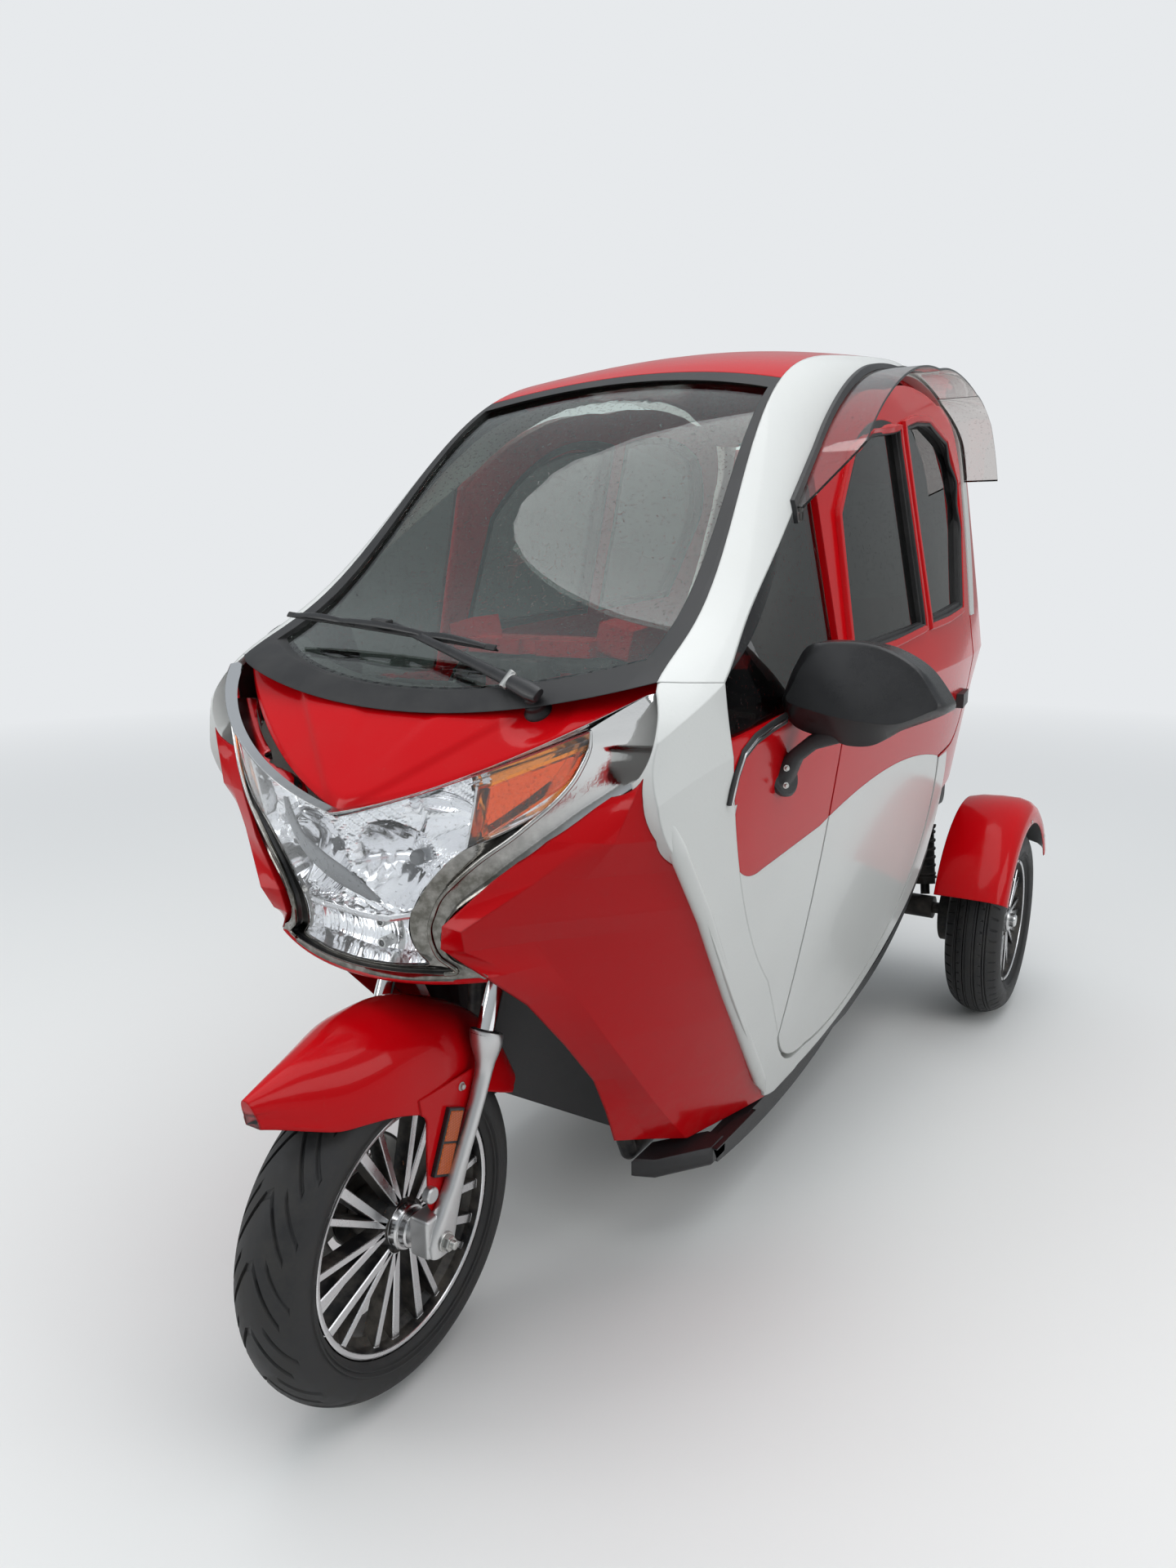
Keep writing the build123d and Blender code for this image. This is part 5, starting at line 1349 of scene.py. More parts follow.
# %% Wiper
SHAFT, ELBOW, KNEE = Vector((0.214, -0.832, 1.000)), Vector((0.214, -0.850, 1.026)), Vector((-0.105, -0.754, 1.097))
BLADE_IN, BLADE_OUT = Vector((0.117, -0.787, 1.070)), Vector((-0.325, -0.741, 1.101))
GLASS_OUT = Vector((0, -0.80, 0.60)).normalized()
kit = Kit()
shaft_axis = (ELBOW - SHAFT).normalized()
kit.turn([(-0.012, 0.020), (0.000, 0.019), (0.006, 0.0145), (0.012, 0.0145), (0.015, 0.0115), (0.024, 0.0110),
          (0.026, 0.006)], SHAFT, shaft_axis, 32, 1)
reach = KNEE - ELBOW
stations = [ELBOW - reach.normalized() * 0.018] + [ELBOW + reach * t + GLASS_OUT * 0.008 * sin(pi * t)
                                                   for t in (0.0, 0.10, 0.16, 0.5, 0.9, 1.0)]
widths = [(0.0100, 0.0050), (0.0125, 0.0085), (0.0110, 0.0080), (0.0085, 0.0050), (0.0068, 0.0036), (0.0050, 0.0028),
          (0.0050, 0.0028)]
bar(kit, stations, widths, GLASS_OUT)
kit.turn([(-0.0125, 0.004), (-0.0125, 0.0058), (0.0125, 0.0058), (0.0125, 0.004)],
         ELBOW + reach * 0.12 + GLASS_OUT * 0.006, reach.cross(GLASS_OUT).normalized(), 20, 2)
blade_along = (BLADE_OUT - BLADE_IN).normalized()
blade_at = [BLADE_IN.lerp(BLADE_OUT, t) for t in shares(13)]
bar(kit, [p + GLASS_OUT * 0.003 for p in blade_at], [(0.0048, 0.0018)] * 13, GLASS_OUT, 1)
bar(kit, [p - GLASS_OUT * 0.002 for p in blade_at], [(0.0012, 0.0036)] * 13, GLASS_OUT, 1)
middle = BLADE_IN.lerp(BLADE_OUT, 0.5)
for low, high, rise in ((0.20, 0.80, 0.013), (0.04, 0.36, 0.009), (0.64, 0.96, 0.009)):
    yoke = [BLADE_IN.lerp(BLADE_OUT, low + (high - low) * t) + GLASS_OUT * (0.004 + rise * sin(pi * t))
            for t in shares(9)]
    bar(kit, yoke, [(0.0034 + 0.0018 * sin(pi * t), 0.0016) for t in shares(9)], GLASS_OUT)
kit.slab(middle.lerp(KNEE, 0.5) + GLASS_OUT * 0.012, (0.034, 0.014, 0.010),
         blade_along.to_track_quat("X", "Z").to_matrix(), soft=0.002)
wiper = kit.done("wiper_arm_and_blade", "frame", smooth_black, rubber_black, zinc_steel, round_edges=0.0005)
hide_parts("wiper")
print("wiper faces", len(wiper.data.polygons))

# %% [markdown]
# ## Inside the front arch
# Behind the fork the arch is closed by moulded cheeks beside the liner, and the sills start with a short toe. They
# are plain plates, but without them light would shine through behind the wheel.

# %% Cheeks and toes
CHEEK = [(-0.605, 0.812, 0.172, 0.330), (-0.580, 0.665, 0.172, 0.325), (-0.549, 0.490, 0.172, 0.280),
         (-0.520, 0.340, 0.172, 0.225), (-0.501, 0.228, 0.172, 0.195)]
kit = Kit()
sheets = []
for behind in (0.0, 0.003):
    sheets.append([[Vector((near + (far - near) * t, y + behind + 0.010 * sin(pi * t) ** 2, z)) for t in shares(7)]
                   for y, z, near, far in CHEEK])
front_sheet, back_sheet = (kit.grid(rows) for rows in sheets)
kit.hem(front_sheet, back_sheet)
TOE = [(0.192, -0.480), (0.192, -0.545), (0.225, -0.530), (0.292, -0.440), (0.292, -0.392), (0.262, -0.392)]
levels = [(0.172, 0.004), (0.176, 0.0), (0.201, 0.0), (0.205, 0.004)]
toe_middle = Vector((0.240, -0.45))
rows = [[Vector((x, y)).lerp(toe_middle, inset / 0.06).to_3d() + Z * z for x, y in TOE] for z, inset in levels]
kit.solid(rows)
kit.twin()
cheeks = kit.done("arch_cheeks", "frame", black_plastic)
print("cheek faces", len(cheeks.data.polygons))

# %% [markdown]
# ## Raised rims
# The white panel has a raised rim where it meets the red nose, and the doors have thick bevelled window frames. A
# frame is a band that lies on the door: its line is given in the side view, and a ray from the side finds the door's
# surface at each point, so the band follows the real shape.

# %% Bands on the side
def side_tree(names):
    """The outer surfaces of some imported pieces, as one tree for rays."""
    points, faces = [], []
    for name in names.split():
        start = len(points)
        points += node_points(name)
        faces += [[start + i for i in face.vertices] for face in nodes[name].data.polygons]
    return BVHTree.FromPolygons(points, faces)


def onto(tree, y, z, fallback=0.40):
    """The left surface's x at a point of the side view."""
    hit = tree.ray_cast(Vector((1.0, y, z)), -X)[0]
    return hit.x if hit and hit.x > 0.15 else fallback


def even(path, step):
    """Points at even steps along a line."""
    path = [Vector(p) for p in path]
    made = [path[0]]
    for a, b in zip(path, path[1:]):
        count = max(1, round((b - a).length / step))
        made += [a.lerp(b, i / count) for i in range(1, count + 1)]
    return made


def smooth_line(values):
    """The same numbers, evened out twice, with the ends kept."""
    for _ in range(2):
        values = [values[0]] + [(a + 2 * b + c) / 4 for a, b, c in zip(values, values[1:], values[2:])] + [values[-1]]
    return values


BAND_STEP, BAND_TOP = 0.018, 0.65


def band(kit, tree, path, half_wide, high, closed=False, finish=0, sink=0.003):
    """A raised band with sloping shoulders along a line of (y, z) on the car's left side."""
    flat = even([(0, y, z) for y, z in path], BAND_STEP)
    if closed:
        flat = flat[:-1]
    xs = smooth_line([onto(tree, p.y, p.z) for p in flat])
    on = [Vector((x, p.y, p.z)) for x, p in zip(xs, flat)]
    top = half_wide * BAND_TOP
    profile = [(-half_wide, -sink), (-half_wide, high * 0.35), (-top, high), (top, high), (half_wide, high * 0.35),
               (half_wide, -sink)]
    ups = []
    for p in on:
        slope_y = (onto(tree, p.y + 0.008, p.z, p.x) - onto(tree, p.y - 0.008, p.z, p.x)) / 0.016
        slope_z = (onto(tree, p.y, p.z + 0.008, p.x) - onto(tree, p.y, p.z - 0.008, p.x)) / 0.016
        ups.append(Vector((1, -max(-1.5, min(1.5, slope_y)), -max(-1.5, min(1.5, slope_z)))).normalized())
    for _ in range(3):
        ups = [ups[0]] + [(a + b * 2 + c).normalized() for a, b, c in zip(ups, ups[1:], ups[2:])] + [ups[-1]]
    kit.strip(on, profile, ups, closed, finish)


LEG_EDGE = [(0.401, -0.838, 0.892), (0.404, -0.800, 0.825), (0.392, -0.700, 0.712), (0.378, -0.625, 0.625),
            (0.362, -0.548, 0.540), (0.345, -0.455, 0.440), (0.328, -0.360, 0.335), (0.312, -0.268, 0.236)]
LEG_OUT = Vector((0.88, -0.42, -0.20)).normalized()
kit = Kit()
edge = even(LEG_EDGE, 0.012)
ends = [min(1.0, 0.25 + 0.15 * min(i, len(edge) - 1 - i)) for i in range(len(edge))]
bar(kit, edge, [(0.0125 * size, 0.0075 * size) for size in ends], LEG_OUT)
kit.twin()
rims = kit.done("white_panel_rims", "frame", white_paint, sharp=50, round_edges=0.0025)
print("rim faces", len(rims.data.polygons))

# %% [markdown]
# ## Door windows and handles
# Each door window sits in a red frame that stands proud of the door, with a rubber lip between frame and glass. The
# two doors are alike, so the left one's frames are made first and their mirror image rides on the right door.

# %% Door trim
# The two panes in the side view, as y and z
FRONT_PANE = [(-0.214, 1.030), (-0.180, 1.255), (-0.072, 1.352), (0.080, 1.402), (0.242, 1.424), (0.244, 1.235),
              (0.244, 1.048), (0.020, 1.038), (-0.214, 1.030)]
REAR_PANE = [(0.296, 1.050), (0.296, 1.240), (0.296, 1.434), (0.400, 1.452), (0.505, 1.460), (0.640, 1.430),
             (0.704, 1.348), (0.698, 1.242), (0.616, 1.068), (0.460, 1.058), (0.296, 1.050)]
door = side_tree("left_door_upper left_window_seals left_door_glass")
for name, flip in (("left", 1), ("right", -1)):
    kit = Kit()
    for outline in (FRONT_PANE, REAR_PANE):
        centre = Vector((0, sum(p[0] for p in outline) / len(outline), sum(p[1] for p in outline) / len(outline)))
        outer = []
        for y, z in outline:
            away = (Vector((0, y, z)) - centre).normalized() * 0.010
            outer.append((y + away.y, z + away.z))
        band(kit, door, outer, 0.0085, 0.008, closed=True, sink=0.004)
        band(kit, door, outline, 0.0040, 0.006, closed=True, finish=1, sink=0.004)
    if flip < 0:
        bmesh.ops.scale(kit.mesh, verts=kit.mesh.verts, vec=(-1, 1, 1))
    trim = kit.done(f"{name}_window_frames", f"{name}_door", red_paint, rubber_black, sharp=50)
    print(trim.name, len(trim.data.polygons))

# %% [markdown]
# ## The roof's rear joint
# Between the roof's rear edge and the top of the rear body runs a black seal. Rays find both edges at each place
# across the car, and the seal is a thin sheet between them.

# %% Roof seal
rear_tree, roof_tree = side_tree("rear_body"), side_tree("roof")


def first_hit(tree, starts, way, accept):
    """The first point where a ray from one of the starts meets the tree at an accepted place."""
    for start in starts:
        hit = tree.ray_cast(start, way)[0]
        if hit and accept(hit):
            return hit
    return None


def body_top(x):
    """The highest point of the rear body's back at a distance from the middle."""
    starts = [Vector((x, 1.40, 1.56 - step * 0.003)) for step in range(120)]
    return first_hit(rear_tree, starts, -Y, lambda hit: hit.y > 0.55)


def roof_end(x):
    """The rearmost point of the roof's skin at a distance from the middle."""
    starts = [Vector((x, 1.15 - step * 0.003, 1.0)) for step in range(200)]
    return first_hit(roof_tree, starts, Z, lambda hit: hit.z > 1.2)


pairs = [(body_top(x), roof_end(x)) for x in shares(29, -0.262, 0.262)]
pairs = [(a, b) for a, b in pairs if a and b]
kit = Kit()
rows = [[a + Y * -0.004 - Z * 0.010, a.lerp(b, 0.5) - Y * 0.004, b - Y * 0.010 + Z * 0.004,
         b - Y * 0.016 + Z * 0.004, a.lerp(b, 0.5) - Y * 0.010, a - Y * 0.012 - Z * 0.010] for a, b in pairs]
kit.solid(rows)
kit.done("roof_rear_seal", "frame", rubber_black)
print("roof seal from", [round(v, 3) for v in pairs[0][0]], "to", [round(v, 3) for v in pairs[0][1]])

# %% [markdown]
# ## Quarter window gasket
# The fixed pane in front of the door sits in a black gasket with a bright line in the middle. It follows the pane's
# lower edge from the white panel to the door.

# %% Gasket
GASKET = [(0.424, -0.697, 0.873), (0.4275, -0.696, 0.893), (0.4295, -0.691, 0.912), (0.433, -0.678, 0.938),
          (0.434, -0.642, 0.953), (0.434, -0.586, 0.962), (0.433, -0.533, 0.967)]
kit = Kit()
inner = even([(x + 0.001, y, z) for x, y, z in GASKET], 0.006)
bar(kit, inner, [(0.0085, 0.0030)] * len(inner), X)
bar(kit, [p + X * 0.0028 for p in inner], [(0.0018, 0.0014)] * len(inner), X, 1)
kit.twin()
gasket = kit.done("quarter_window_gaskets", "frame", rubber_black, chrome)
print("gasket faces", len(gasket.data.polygons))

# %% [markdown]
# ## Padded seats
# A seat cushion is foam under a stretched cover: crowned on top, with sides that pull in between the corners, and
# flat only where it rests. Each one starts from its plain solid, a little smaller and remeshed into even cells, and a
# short cloth simulation with inner pressure swells it. How far a point may move is capped, so the cushion stays in
# its place. The sewn channels are pressed in afterwards, because the remesh would lose them.

# %% Seats
VOXEL = 0.007
SHRINK = 0.011
SEWN_WIDTH, SEWN_DEPTH = 0.0055, 0.007


def evaluated_copy(holder):
    """The object's mesh as its modifiers leave it at the present frame."""
    graph = bpy.context.evaluated_depsgraph_get()
    return bpy.data.meshes.new_from_object(holder.evaluated_get(graph))


def through_modifier(mesh, kind, **settings):
    """A mesh after one modifier."""
    holder = bpy.data.objects.new("holder", mesh)
    bpy.context.scene.collection.objects.link(holder)
    change = holder.modifiers.new(kind.lower(), kind)
    for key, value in settings.items():
        setattr(change, key, value)
    made = evaluated_copy(holder)
    bpy.data.objects.remove(holder)
    return made


def swollen(mesh, cap):
    """The mesh after a short cloth simulation with pressure inside, no point moved further than the cap."""
    holder = bpy.data.objects.new("holder", mesh)
    bpy.context.scene.collection.objects.link(holder)
    cloth = holder.modifiers.new("cloth", "CLOTH")
    cloth.settings.quality = 4
    cloth.settings.use_pressure = True
    cloth.settings.uniform_pressure_force = 4.0
    cloth.settings.effector_weights.gravity = 0.0
    cloth.collision_settings.use_collision = False
    cloth.point_cache.frame_end = 20
    for step in range(1, 21):
        bpy.context.scene.frame_set(step)
    moved = evaluated_copy(holder)
    bpy.context.scene.frame_set(1)
    for vert, start in zip(moved.vertices, mesh.vertices):
        shift = vert.co - start.co
        vert.co = start.co + shift * min(1.0, cap / max(shift.length, 1e-9))
    bpy.data.objects.remove(holder)
    return moved


def seat(name, node, seams, rest_axis, cap=0.022):
    """A padded piece from its plain solid. seams are (axis, place) pairs across the face opposite the rest side."""
    plain = nodes[node]
    mesh = plain.data.copy()
    mesh.transform(plain.matrix_world)
    low = Vector(min(v.co[k] for v in mesh.vertices) for k in range(3))
    high = Vector(max(v.co[k] for v in mesh.vertices) for k in range(3))
    middle = (low + high) / 2
    lean = Matrix.Rotation(rest_axis, 3, "X")
    for vert in mesh.vertices:
        local = lean.inverted() @ (vert.co - middle)
        for k in range(3):
            local[k] -= min(SHRINK, abs(local[k])) * (1 if local[k] > 0 else -1)
        vert.co = local
    mesh = through_modifier(mesh, "REMESH", mode="VOXEL", voxel_size=VOXEL)
    face = max(v.co.z for v in mesh.vertices)
    rest = min(v.co.z for v in mesh.vertices)
    mesh = swollen(mesh, cap)
    for vert in mesh.vertices:
        top = clip((vert.co.z - rest) / (face - rest))
        for axis, at in seams:
            vert.co.z -= SEWN_DEPTH * exp(-((vert.co[axis] - at) / SEWN_WIDTH) ** 2) * top ** 2
        vert.co.z = max(vert.co.z, rest - SHRINK * 0.8)
        vert.co = lean @ vert.co + middle
    mesh = through_modifier(mesh, "SUBSURF", levels=1)
    mesh.materials.clear()
    made = piece(name, mesh, "frame", seat_cover, sharp=80)
    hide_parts(node)
    return made


DRIVER_LEAN, BENCH_LEAN = radians(78), radians(82)
soft = [seat("driver_seat_cushion", "driver_cushion", [(0, -0.120), (0, 0.120), (1, 0.130)], 0.0),
        seat("driver_seat_back", "driver_backrest", [(0, -0.120), (0, 0.120), (1, 0.110)], DRIVER_LEAN, 0.020),
        seat("bench_seat_cushion", "bench_cushion", [(0, -0.095), (0, 0.095)], 0.0),
        seat("bench_seat_back", "bench_backrest", [(0, -0.095), (0, 0.095)], BENCH_LEAN, 0.016)]
for made in soft:
    print(made.name, "faces", len(made.data.polygons), "size", [round(v, 3) for v in made.dimensions])

# %% [markdown]
# ## Rear mudguards
# A mudguard over a rear wheel is half a drum with a rolled lip: the outer skin, a shoulder that rounds over to the
# wheel's face, and a lip that turns in. Each row is one cut across the guard, and the rows go round the wheel.

# %% Mudguards
GUARD_RADIUS = 0.316
# Across the guard from the body outward: x from the tyre's middle, and how far out from the drum's radius
GUARD = [(-0.082, -0.004), (-0.050, 0.003), (0.000, 0.0055), (0.038, 0.004), (0.060, -0.003), (0.074, -0.015),
         (0.0820, -0.031), (0.0840, -0.050), (0.0815, -0.058), (0.0785, -0.050), (0.0765, -0.033), (0.0690, -0.019),
         (0.056, -0.008), (0.036, -0.001), (0.000, 0.0005), (-0.050, -0.002), (-0.082, -0.008)]
GUARD_START, GUARD_END = 24, 152


def on_guard(angle, x, radius):
    """A point of the guard, by its angle in degrees from the front, its place across and its radius."""
    return REAR_AXLE + X * (TRACK_HALF + x) + Vector((0, -cos(radians(angle)), sin(radians(angle)))) * radius


kit = Kit()
rows = []
for angle in shares(49, GUARD_START, GUARD_END):
    rows.append([on_guard(angle, x, GUARD_RADIUS + out) for x, out in GUARD])
corners = kit.grid(rows, lambda i, j: 1 if j > 8 else 0, ring=True)
kit.lid(corners[0])
kit.lid(corners[-1])
for share in (0.12, 0.5, 0.88):
    angle = GUARD_START + (GUARD_END - GUARD_START) * share
    kit.screw(on_guard(angle, 0.0836, GUARD_RADIUS - 0.046), X, 0.0045, 0.003, 2)
kit.twin()
guards = kit.done("rear_mudguard_drums", "frame", red_paint, black_plastic, zinc_steel, sharp=40, round_edges=0.0008)
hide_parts("rear_mudguards")
print("guard faces", len(guards.data.polygons))

# %% [markdown]
# ## Coil springs
# A coil spring over each shock shows from behind: a bar wound along the shock's own line, with closed end turns.

# %% Springs
shock_points = [p for p in node_points("rear_shocks") if p.x > 0]


def shock_centre(level):
    """The middle of the shock's points near a height."""
    near = [p for p in shock_points if abs(p.z - level) < 0.03] or shock_points
    return Vector((halfway(p.x for p in near), halfway(p.y for p in near), level))


bottom, top = min(p.z for p in shock_points), max(p.z for p in shock_points)
foot, head = shock_centre(bottom + 0.02), shock_centre(top - 0.02)
coil_foot, coil_head = foot.lerp(head, 0.18), foot.lerp(head, 0.86)
coil_axis = (coil_head - coil_foot).normalized()
first, second = square_to(coil_axis)
COIL_TURNS, COIL_STEPS, COIL_RADIUS, WIRE_RADIUS = 7, 16, 0.026, 0.0042
kit = Kit()
path = []
for i in range(COIL_TURNS * COIL_STEPS + 1):
    t = i / (COIL_TURNS * COIL_STEPS)
    eased = 0.06 * t * 2 if t < 0.1 else (1 - 0.06 * (1 - t) * 2 if t > 0.9 else 0.012 + (t - 0.1) * 0.976 / 0.8)
    a = 2 * pi * COIL_TURNS * t
    path.append(coil_foot.lerp(coil_head, eased) + (first * cos(a) + second * sin(a)) * COIL_RADIUS)
kit.tube(path, WIRE_RADIUS, 8)
for place in (coil_foot - coil_axis * 0.006, coil_head + coil_axis * 0.004):
    kit.turn([(-0.003, 0.008), (-0.003, 0.031), (0.003, 0.031), (0.003, 0.008)], place, coil_axis, 28)
kit.twin()
kit.done("rear_coil_springs", "frame", black_steel, sharp=40)
print("spring", [round(v, 3) for v in coil_foot], [round(v, 3) for v in coil_head])

# %% [markdown]
# ## Bumper
# The bumper is a hollow moulding with rounded ends and a shallow step, closer to the body than a plain block, with a
# blank plate holder under it.

# %% Bumper
BUMPER_Y, BUMPER_Z = 1.030, 0.556
kit = Kit()
ends = [(0.0, 0.058, 0.074), (0.180, 0.058, 0.074), (0.235, 0.055, 0.071), (0.262, 0.048, 0.063), (0.278, 0.036, 0.048),
        (0.284, 0.020, 0.030)]
stations = [(-x, wide, high) for x, wide, high in reversed(ends)] + ends[1:]
bar(kit, [(x, BUMPER_Y - (x / 0.284) ** 2 * 0.018, BUMPER_Z) for x, _, _ in stations],
    [(wide, high) for _, wide, high in stations], Z, power=0.5)
kit.slab((0, BUMPER_Y + 0.056, BUMPER_Z + 0.012), (0.250, 0.012, 0.100), soft=0.004)
for across_x in (-0.085, 0.085):
    kit.screw((across_x, BUMPER_Y + 0.061, BUMPER_Z + 0.030), Y, 0.006, 0.004, 1)
bumper = kit.done("rear_bumper_moulding", "frame", black_plastic, zinc_steel, sharp=45)
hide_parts("rear_bumper")
print("bumper faces", len(bumper.data.polygons))

# %% [markdown]
# ## Handlebar controls
# Scooter grips are ribbed rubber sleeves with a flange, levers pivot in clamped brackets, and the switches sit on
# blocks beside the grips. They follow the bar's own line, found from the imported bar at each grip.

# %% Controls
bar_points = node_points("handlebar")


def bar_middle(x):
    """The bar's centre at a distance from the car's middle."""
    near = [p for p in bar_points if abs(p.x - x) < 0.035] or bar_points
    return Vector((x, halfway(p.y for p in near), halfway(p.z for p in near)))


grip_out = bar_middle(0.300)
grip_in = bar_middle(0.200)
grip_axis = (grip_out - grip_in).normalized()
kit = Kit()
RIB_STEP = 0.0046
profile = [(-0.004, 0.012), (-0.004, 0.0215), (0.000, 0.0215), (0.002, 0.0165)]
for i in range(24):
    profile += [(0.004 + i * RIB_STEP, 0.0158), (0.0056 + i * RIB_STEP, 0.0170), (0.0078 + i * RIB_STEP, 0.0170)]
profile += [(0.1145, 0.0160), (0.116, 0.010)]
kit.turn(profile, grip_out - grip_axis * 0.104, grip_axis, 32)
kit.twin()
grips = kit.done("handlebar_grips", "steering", rubber_black)
kit = Kit()
bracket = grip_out - grip_axis * 0.122
forward = (-Y - grip_axis * (-Y).dot(grip_axis)).normalized()
kit.slab(bracket, (0.030, 0.034, 0.034), soft=0.006)
kit.slab(bracket - grip_axis * 0.030, (0.034, 0.038, 0.038), soft=0.007)
pivot = bracket + forward * 0.024
# Along the grip, forwards and down from the pivot, then the lever's half width and half height
LEVER = [(-0.004, 0.0, 0.0, 0.007, 0.005), (0.020, 0.014, 0.0, 0.006, 0.005), (0.055, 0.022, 0.002, 0.0048, 0.0045),
         (0.100, 0.012, 0.003, 0.0045, 0.0045), (0.118, 0.006, 0.003, 0.0065, 0.0065)]
bar(kit, [pivot + grip_axis * a + forward * b - Z * c for a, b, c, _, _ in LEVER],
    [(wide, high) for _, _, _, wide, high in LEVER], Z, 1)
kit.turn([(-0.011, 0.003), (-0.011, 0.006), (0.011, 0.006), (0.011, 0.003)], pivot, Z, 20, 2)
kit.twin()
kit.done("handlebar_levers", "steering", smooth_black, cast_alloy, zinc_steel, round_edges=0.0006)
print("grip at", [round(v, 3) for v in grip_out], "faces", len(grips.data.polygons))

# %% [markdown]
# ## Dials and floor mat
# The dashboard carries a flat display beside the steering column and a row of rocker switches. On the floor lies a mat
# with ribs that run across, between the dashboard's foot and the driver's seat.

# %% Dashboard and mat
dash_points = node_points("dashboard")
dash_back = max(p.y for p in dash_points)
dash_top = max(p.z for p in dash_points)
kit = Kit()
screen = Vector((-0.190, dash_back - 0.004, dash_top - 0.072))
kit.slab(screen, (0.175, 0.014, 0.078), soft=0.006)
kit.slab(screen + Y * 0.0068, (0.152, 0.003, 0.058), soft=0.0012, finish=1)
for i in range(4):
    kit.slab((0.131 + 0.038 * i, dash_back + 0.002, dash_top - 0.066), (0.026, 0.010, 0.018), soft=0.002)
display = kit.done("dashboard_display", "frame", smooth_black, dark_glass, round_edges=0.0005)
floor_top = max(p.z for p in node_points("floor_pan"))
MAT_HALF, MAT_FRONT, MAT_BACK = 0.200, -0.440, -0.110


def mat_row(y, lift):
    """One rib or groove of the mat, from side to side."""
    return [Vector((x, y, floor_top + lift)) for x in shares(9, -MAT_HALF, MAT_HALF)]


kit = Kit()
rows = [mat_row(y, 0.006 if i % 2 else 0.0032) for i, y in enumerate(shares(67, MAT_FRONT, MAT_BACK))]
kit.grid([mat_row(MAT_FRONT, 0.0005)] + rows + [mat_row(MAT_BACK, 0.0005)])
mat = kit.done("floor_mat", "frame", rubber_black, sharp=20)
print("display", len(display.data.polygons), "mat", len(mat.data.polygons))

# %% [markdown]
# ## Floor, sky and lamps
# A car's paint is judged by what it mirrors, so the light comes from large soft panels: one overhead, one from the
# camera's left and one from its right. The world is pale and a little lighter above, like an overcast sky. The
# floor is plain and pale, takes the car's shadow, and turns into the sky far out, so there is no horizon.

# %% Stage
PALE = (0.80, 0.82, 0.84, 1)


def stage_finish(name, color):
    """Smooth plaster for the floor, paler for the camera and for glass and metal than for the lamps."""
    plaster = Finish(name, roughness=0.9, specular=0.1)
    cloud = plaster.noise(1.3, 3.0)
    plaster.set(color=plaster.mix(cloud * 0.25, color, shaded(color, 0.94)))
    path = plaster.tree.nodes.new("ShaderNodeLightPath")
    seen = Wire(plaster.tree, path.outputs["Is Camera Ray"]) + Wire(plaster.tree, path.outputs["Is Glossy Ray"])
    seen = (seen + Wire(plaster.tree, path.outputs["Is Transmission Ray"])).within()
    paler = plaster.add("BsdfDiffuse", None, {"Color": [min(c * 1.62, 0.92) for c in color[:3]] + [1]})
    far = plaster.add("VectorMath", {"operation": "LENGTH"}, {0: plaster.place}, out="Value")
    glow = plaster.add("Emission", None, {"Color": PALE})
    ground = blend(plaster.tree, plaster.between(far, 2.0, 7.0), paler.socket, glow.socket)
    plaster.surface(blend(plaster.tree, seen, plaster.shader.outputs[0], ground))
    return plaster.material


FLOOR_HALF = 30
mesh = bpy.data.meshes.new("floor")
corners = [(-FLOOR_HALF, -FLOOR_HALF, 0), (FLOOR_HALF, -FLOOR_HALF, 0), (FLOOR_HALF, FLOOR_HALF, 0),
           (-FLOOR_HALF, FLOOR_HALF, 0)]
mesh.from_pydata(corners, [], [(0, 1, 2, 3)])
mesh.materials.append(stage_finish("floor_finish", (0.50, 0.50, 0.49, 1)))
sheet = bpy.data.objects.new("floor", mesh)
bpy.context.scene.collection.objects.link(sheet)


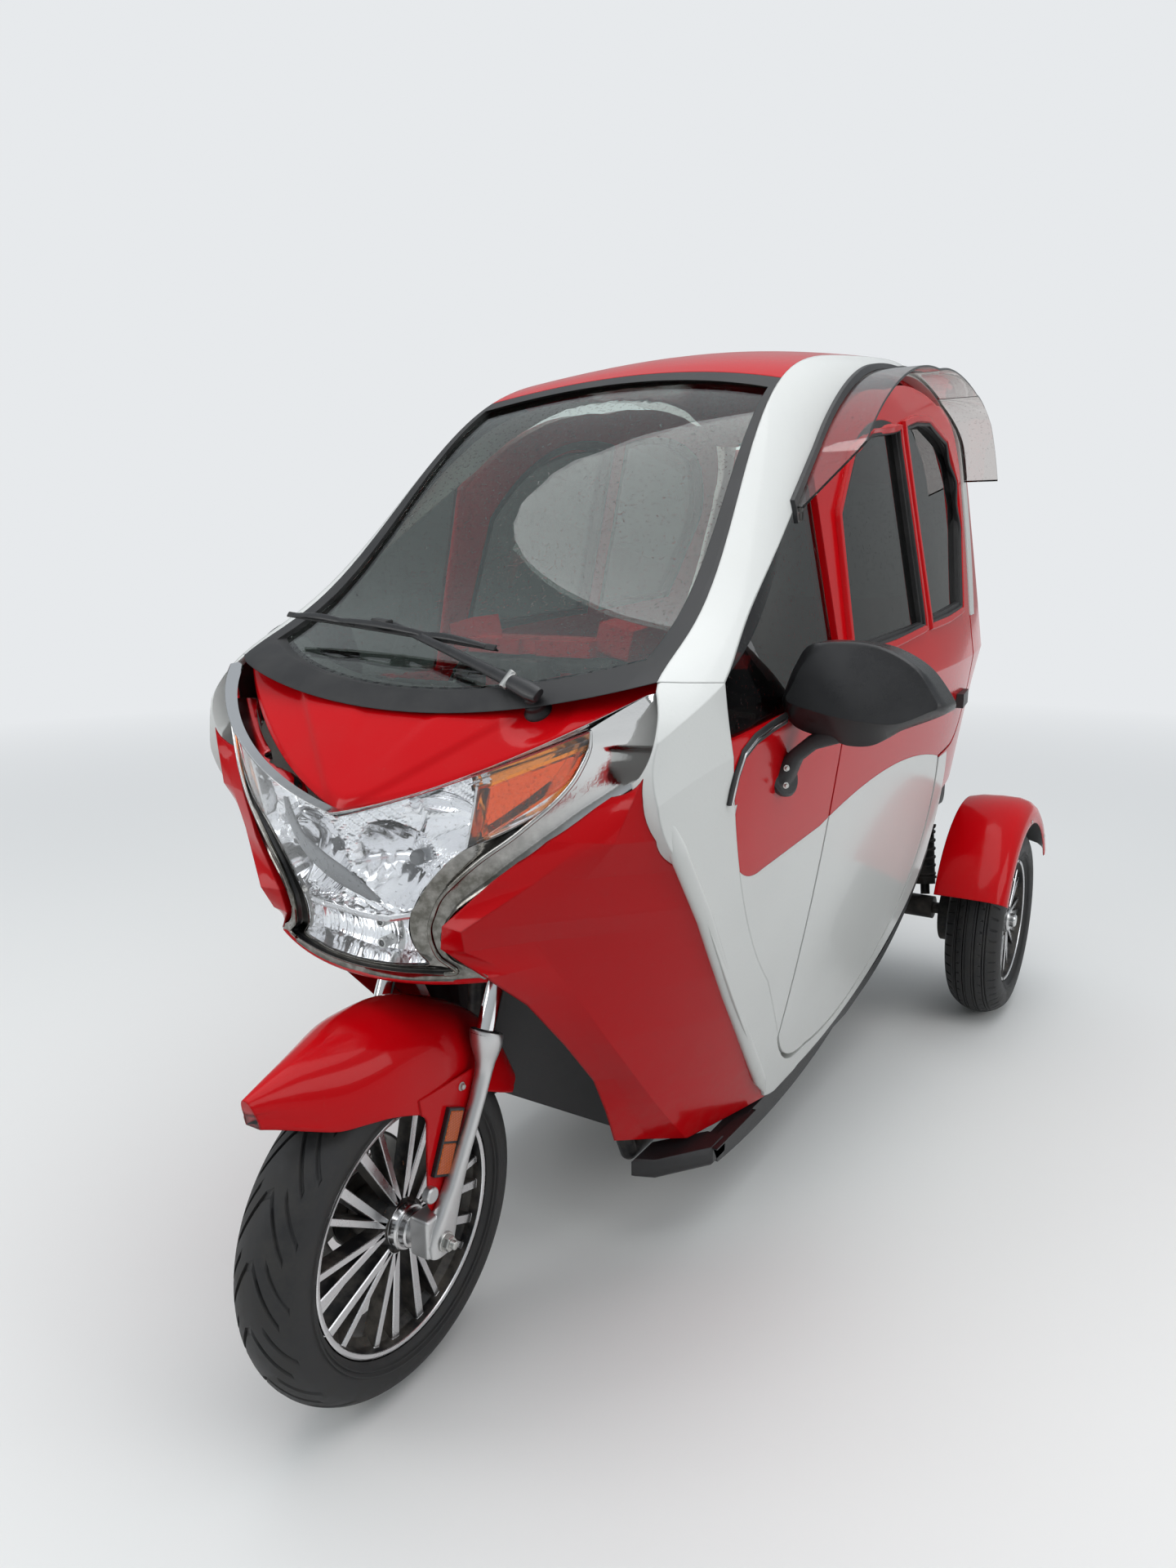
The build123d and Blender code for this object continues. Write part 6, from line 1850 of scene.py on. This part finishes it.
def soft_panel(name, place, aim, size, power):
    """A square area lamp that looks at a point."""
    lamp = bpy.data.lights.new(name, "AREA")
    lamp.shape = "RECTANGLE"
    lamp.size, lamp.size_y = size
    lamp.energy = power
    holder = bpy.data.objects.new(name, lamp)
    holder.location = place
    holder.rotation_mode = "QUATERNION"
    holder.rotation_quaternion = (Vector(aim) - Vector(place)).to_track_quat("-Z", "Y")
    bpy.context.scene.collection.objects.link(holder)


soft_panel("overhead", (0.4, -0.6, 4.6), (0, -0.2, 0.6), (4.2, 5.0), 120)
soft_panel("front_left", (-3.6, -4.4, 3.0), (0, -0.4, 0.7), (2.6, 2.6), 70)
soft_panel("side", (5.2, 0.2, 2.6), (0, 0, 0.8), (3.6, 2.2), 60)
bpy.context.scene.view_settings.view_transform = "Standard"

sky = bpy.data.worlds.new("sky")
bpy.context.scene.world = sky
sky.use_nodes = True
sky_tree = sky.node_tree
backdrop = sky_tree.nodes["Background"]
look = sky_tree.nodes.new("ShaderNodeTexCoord")
height = sky_tree.nodes.new("ShaderNodeSeparateXYZ")
sky_tree.links.new(look.outputs["Generated"], height.inputs[0])
ramp = sky_tree.nodes.new("ShaderNodeValToRGB")
for stop, (place, color) in zip(ramp.color_ramp.elements, [(0.0, (0.40, 0.42, 0.42, 1)), (1.0, (0.80, 0.86, 0.93, 1))]):
    stop.position = place
    stop.color = color
sky_tree.links.new(height.outputs["Z"], ramp.inputs[0])
sky_tree.links.new(ramp.outputs[0], backdrop.inputs["Color"])
backdrop.inputs["Strength"].default_value = 0.75
pale = sky_tree.nodes.new("ShaderNodeBackground")
pale.inputs["Color"].default_value = PALE
pale.inputs["Strength"].default_value = 1.0
path = sky_tree.nodes.new("ShaderNodeLightPath")
seen = Wire(sky_tree, path.outputs["Is Camera Ray"]) + Wire(sky_tree, path.outputs["Is Transmission Ray"])
either = blend(sky_tree, seen.within(), backdrop.outputs[0], pale.outputs[0])
sky_tree.links.new(either, sky_tree.nodes["World Output"].inputs["Surface"])

# %% [markdown]
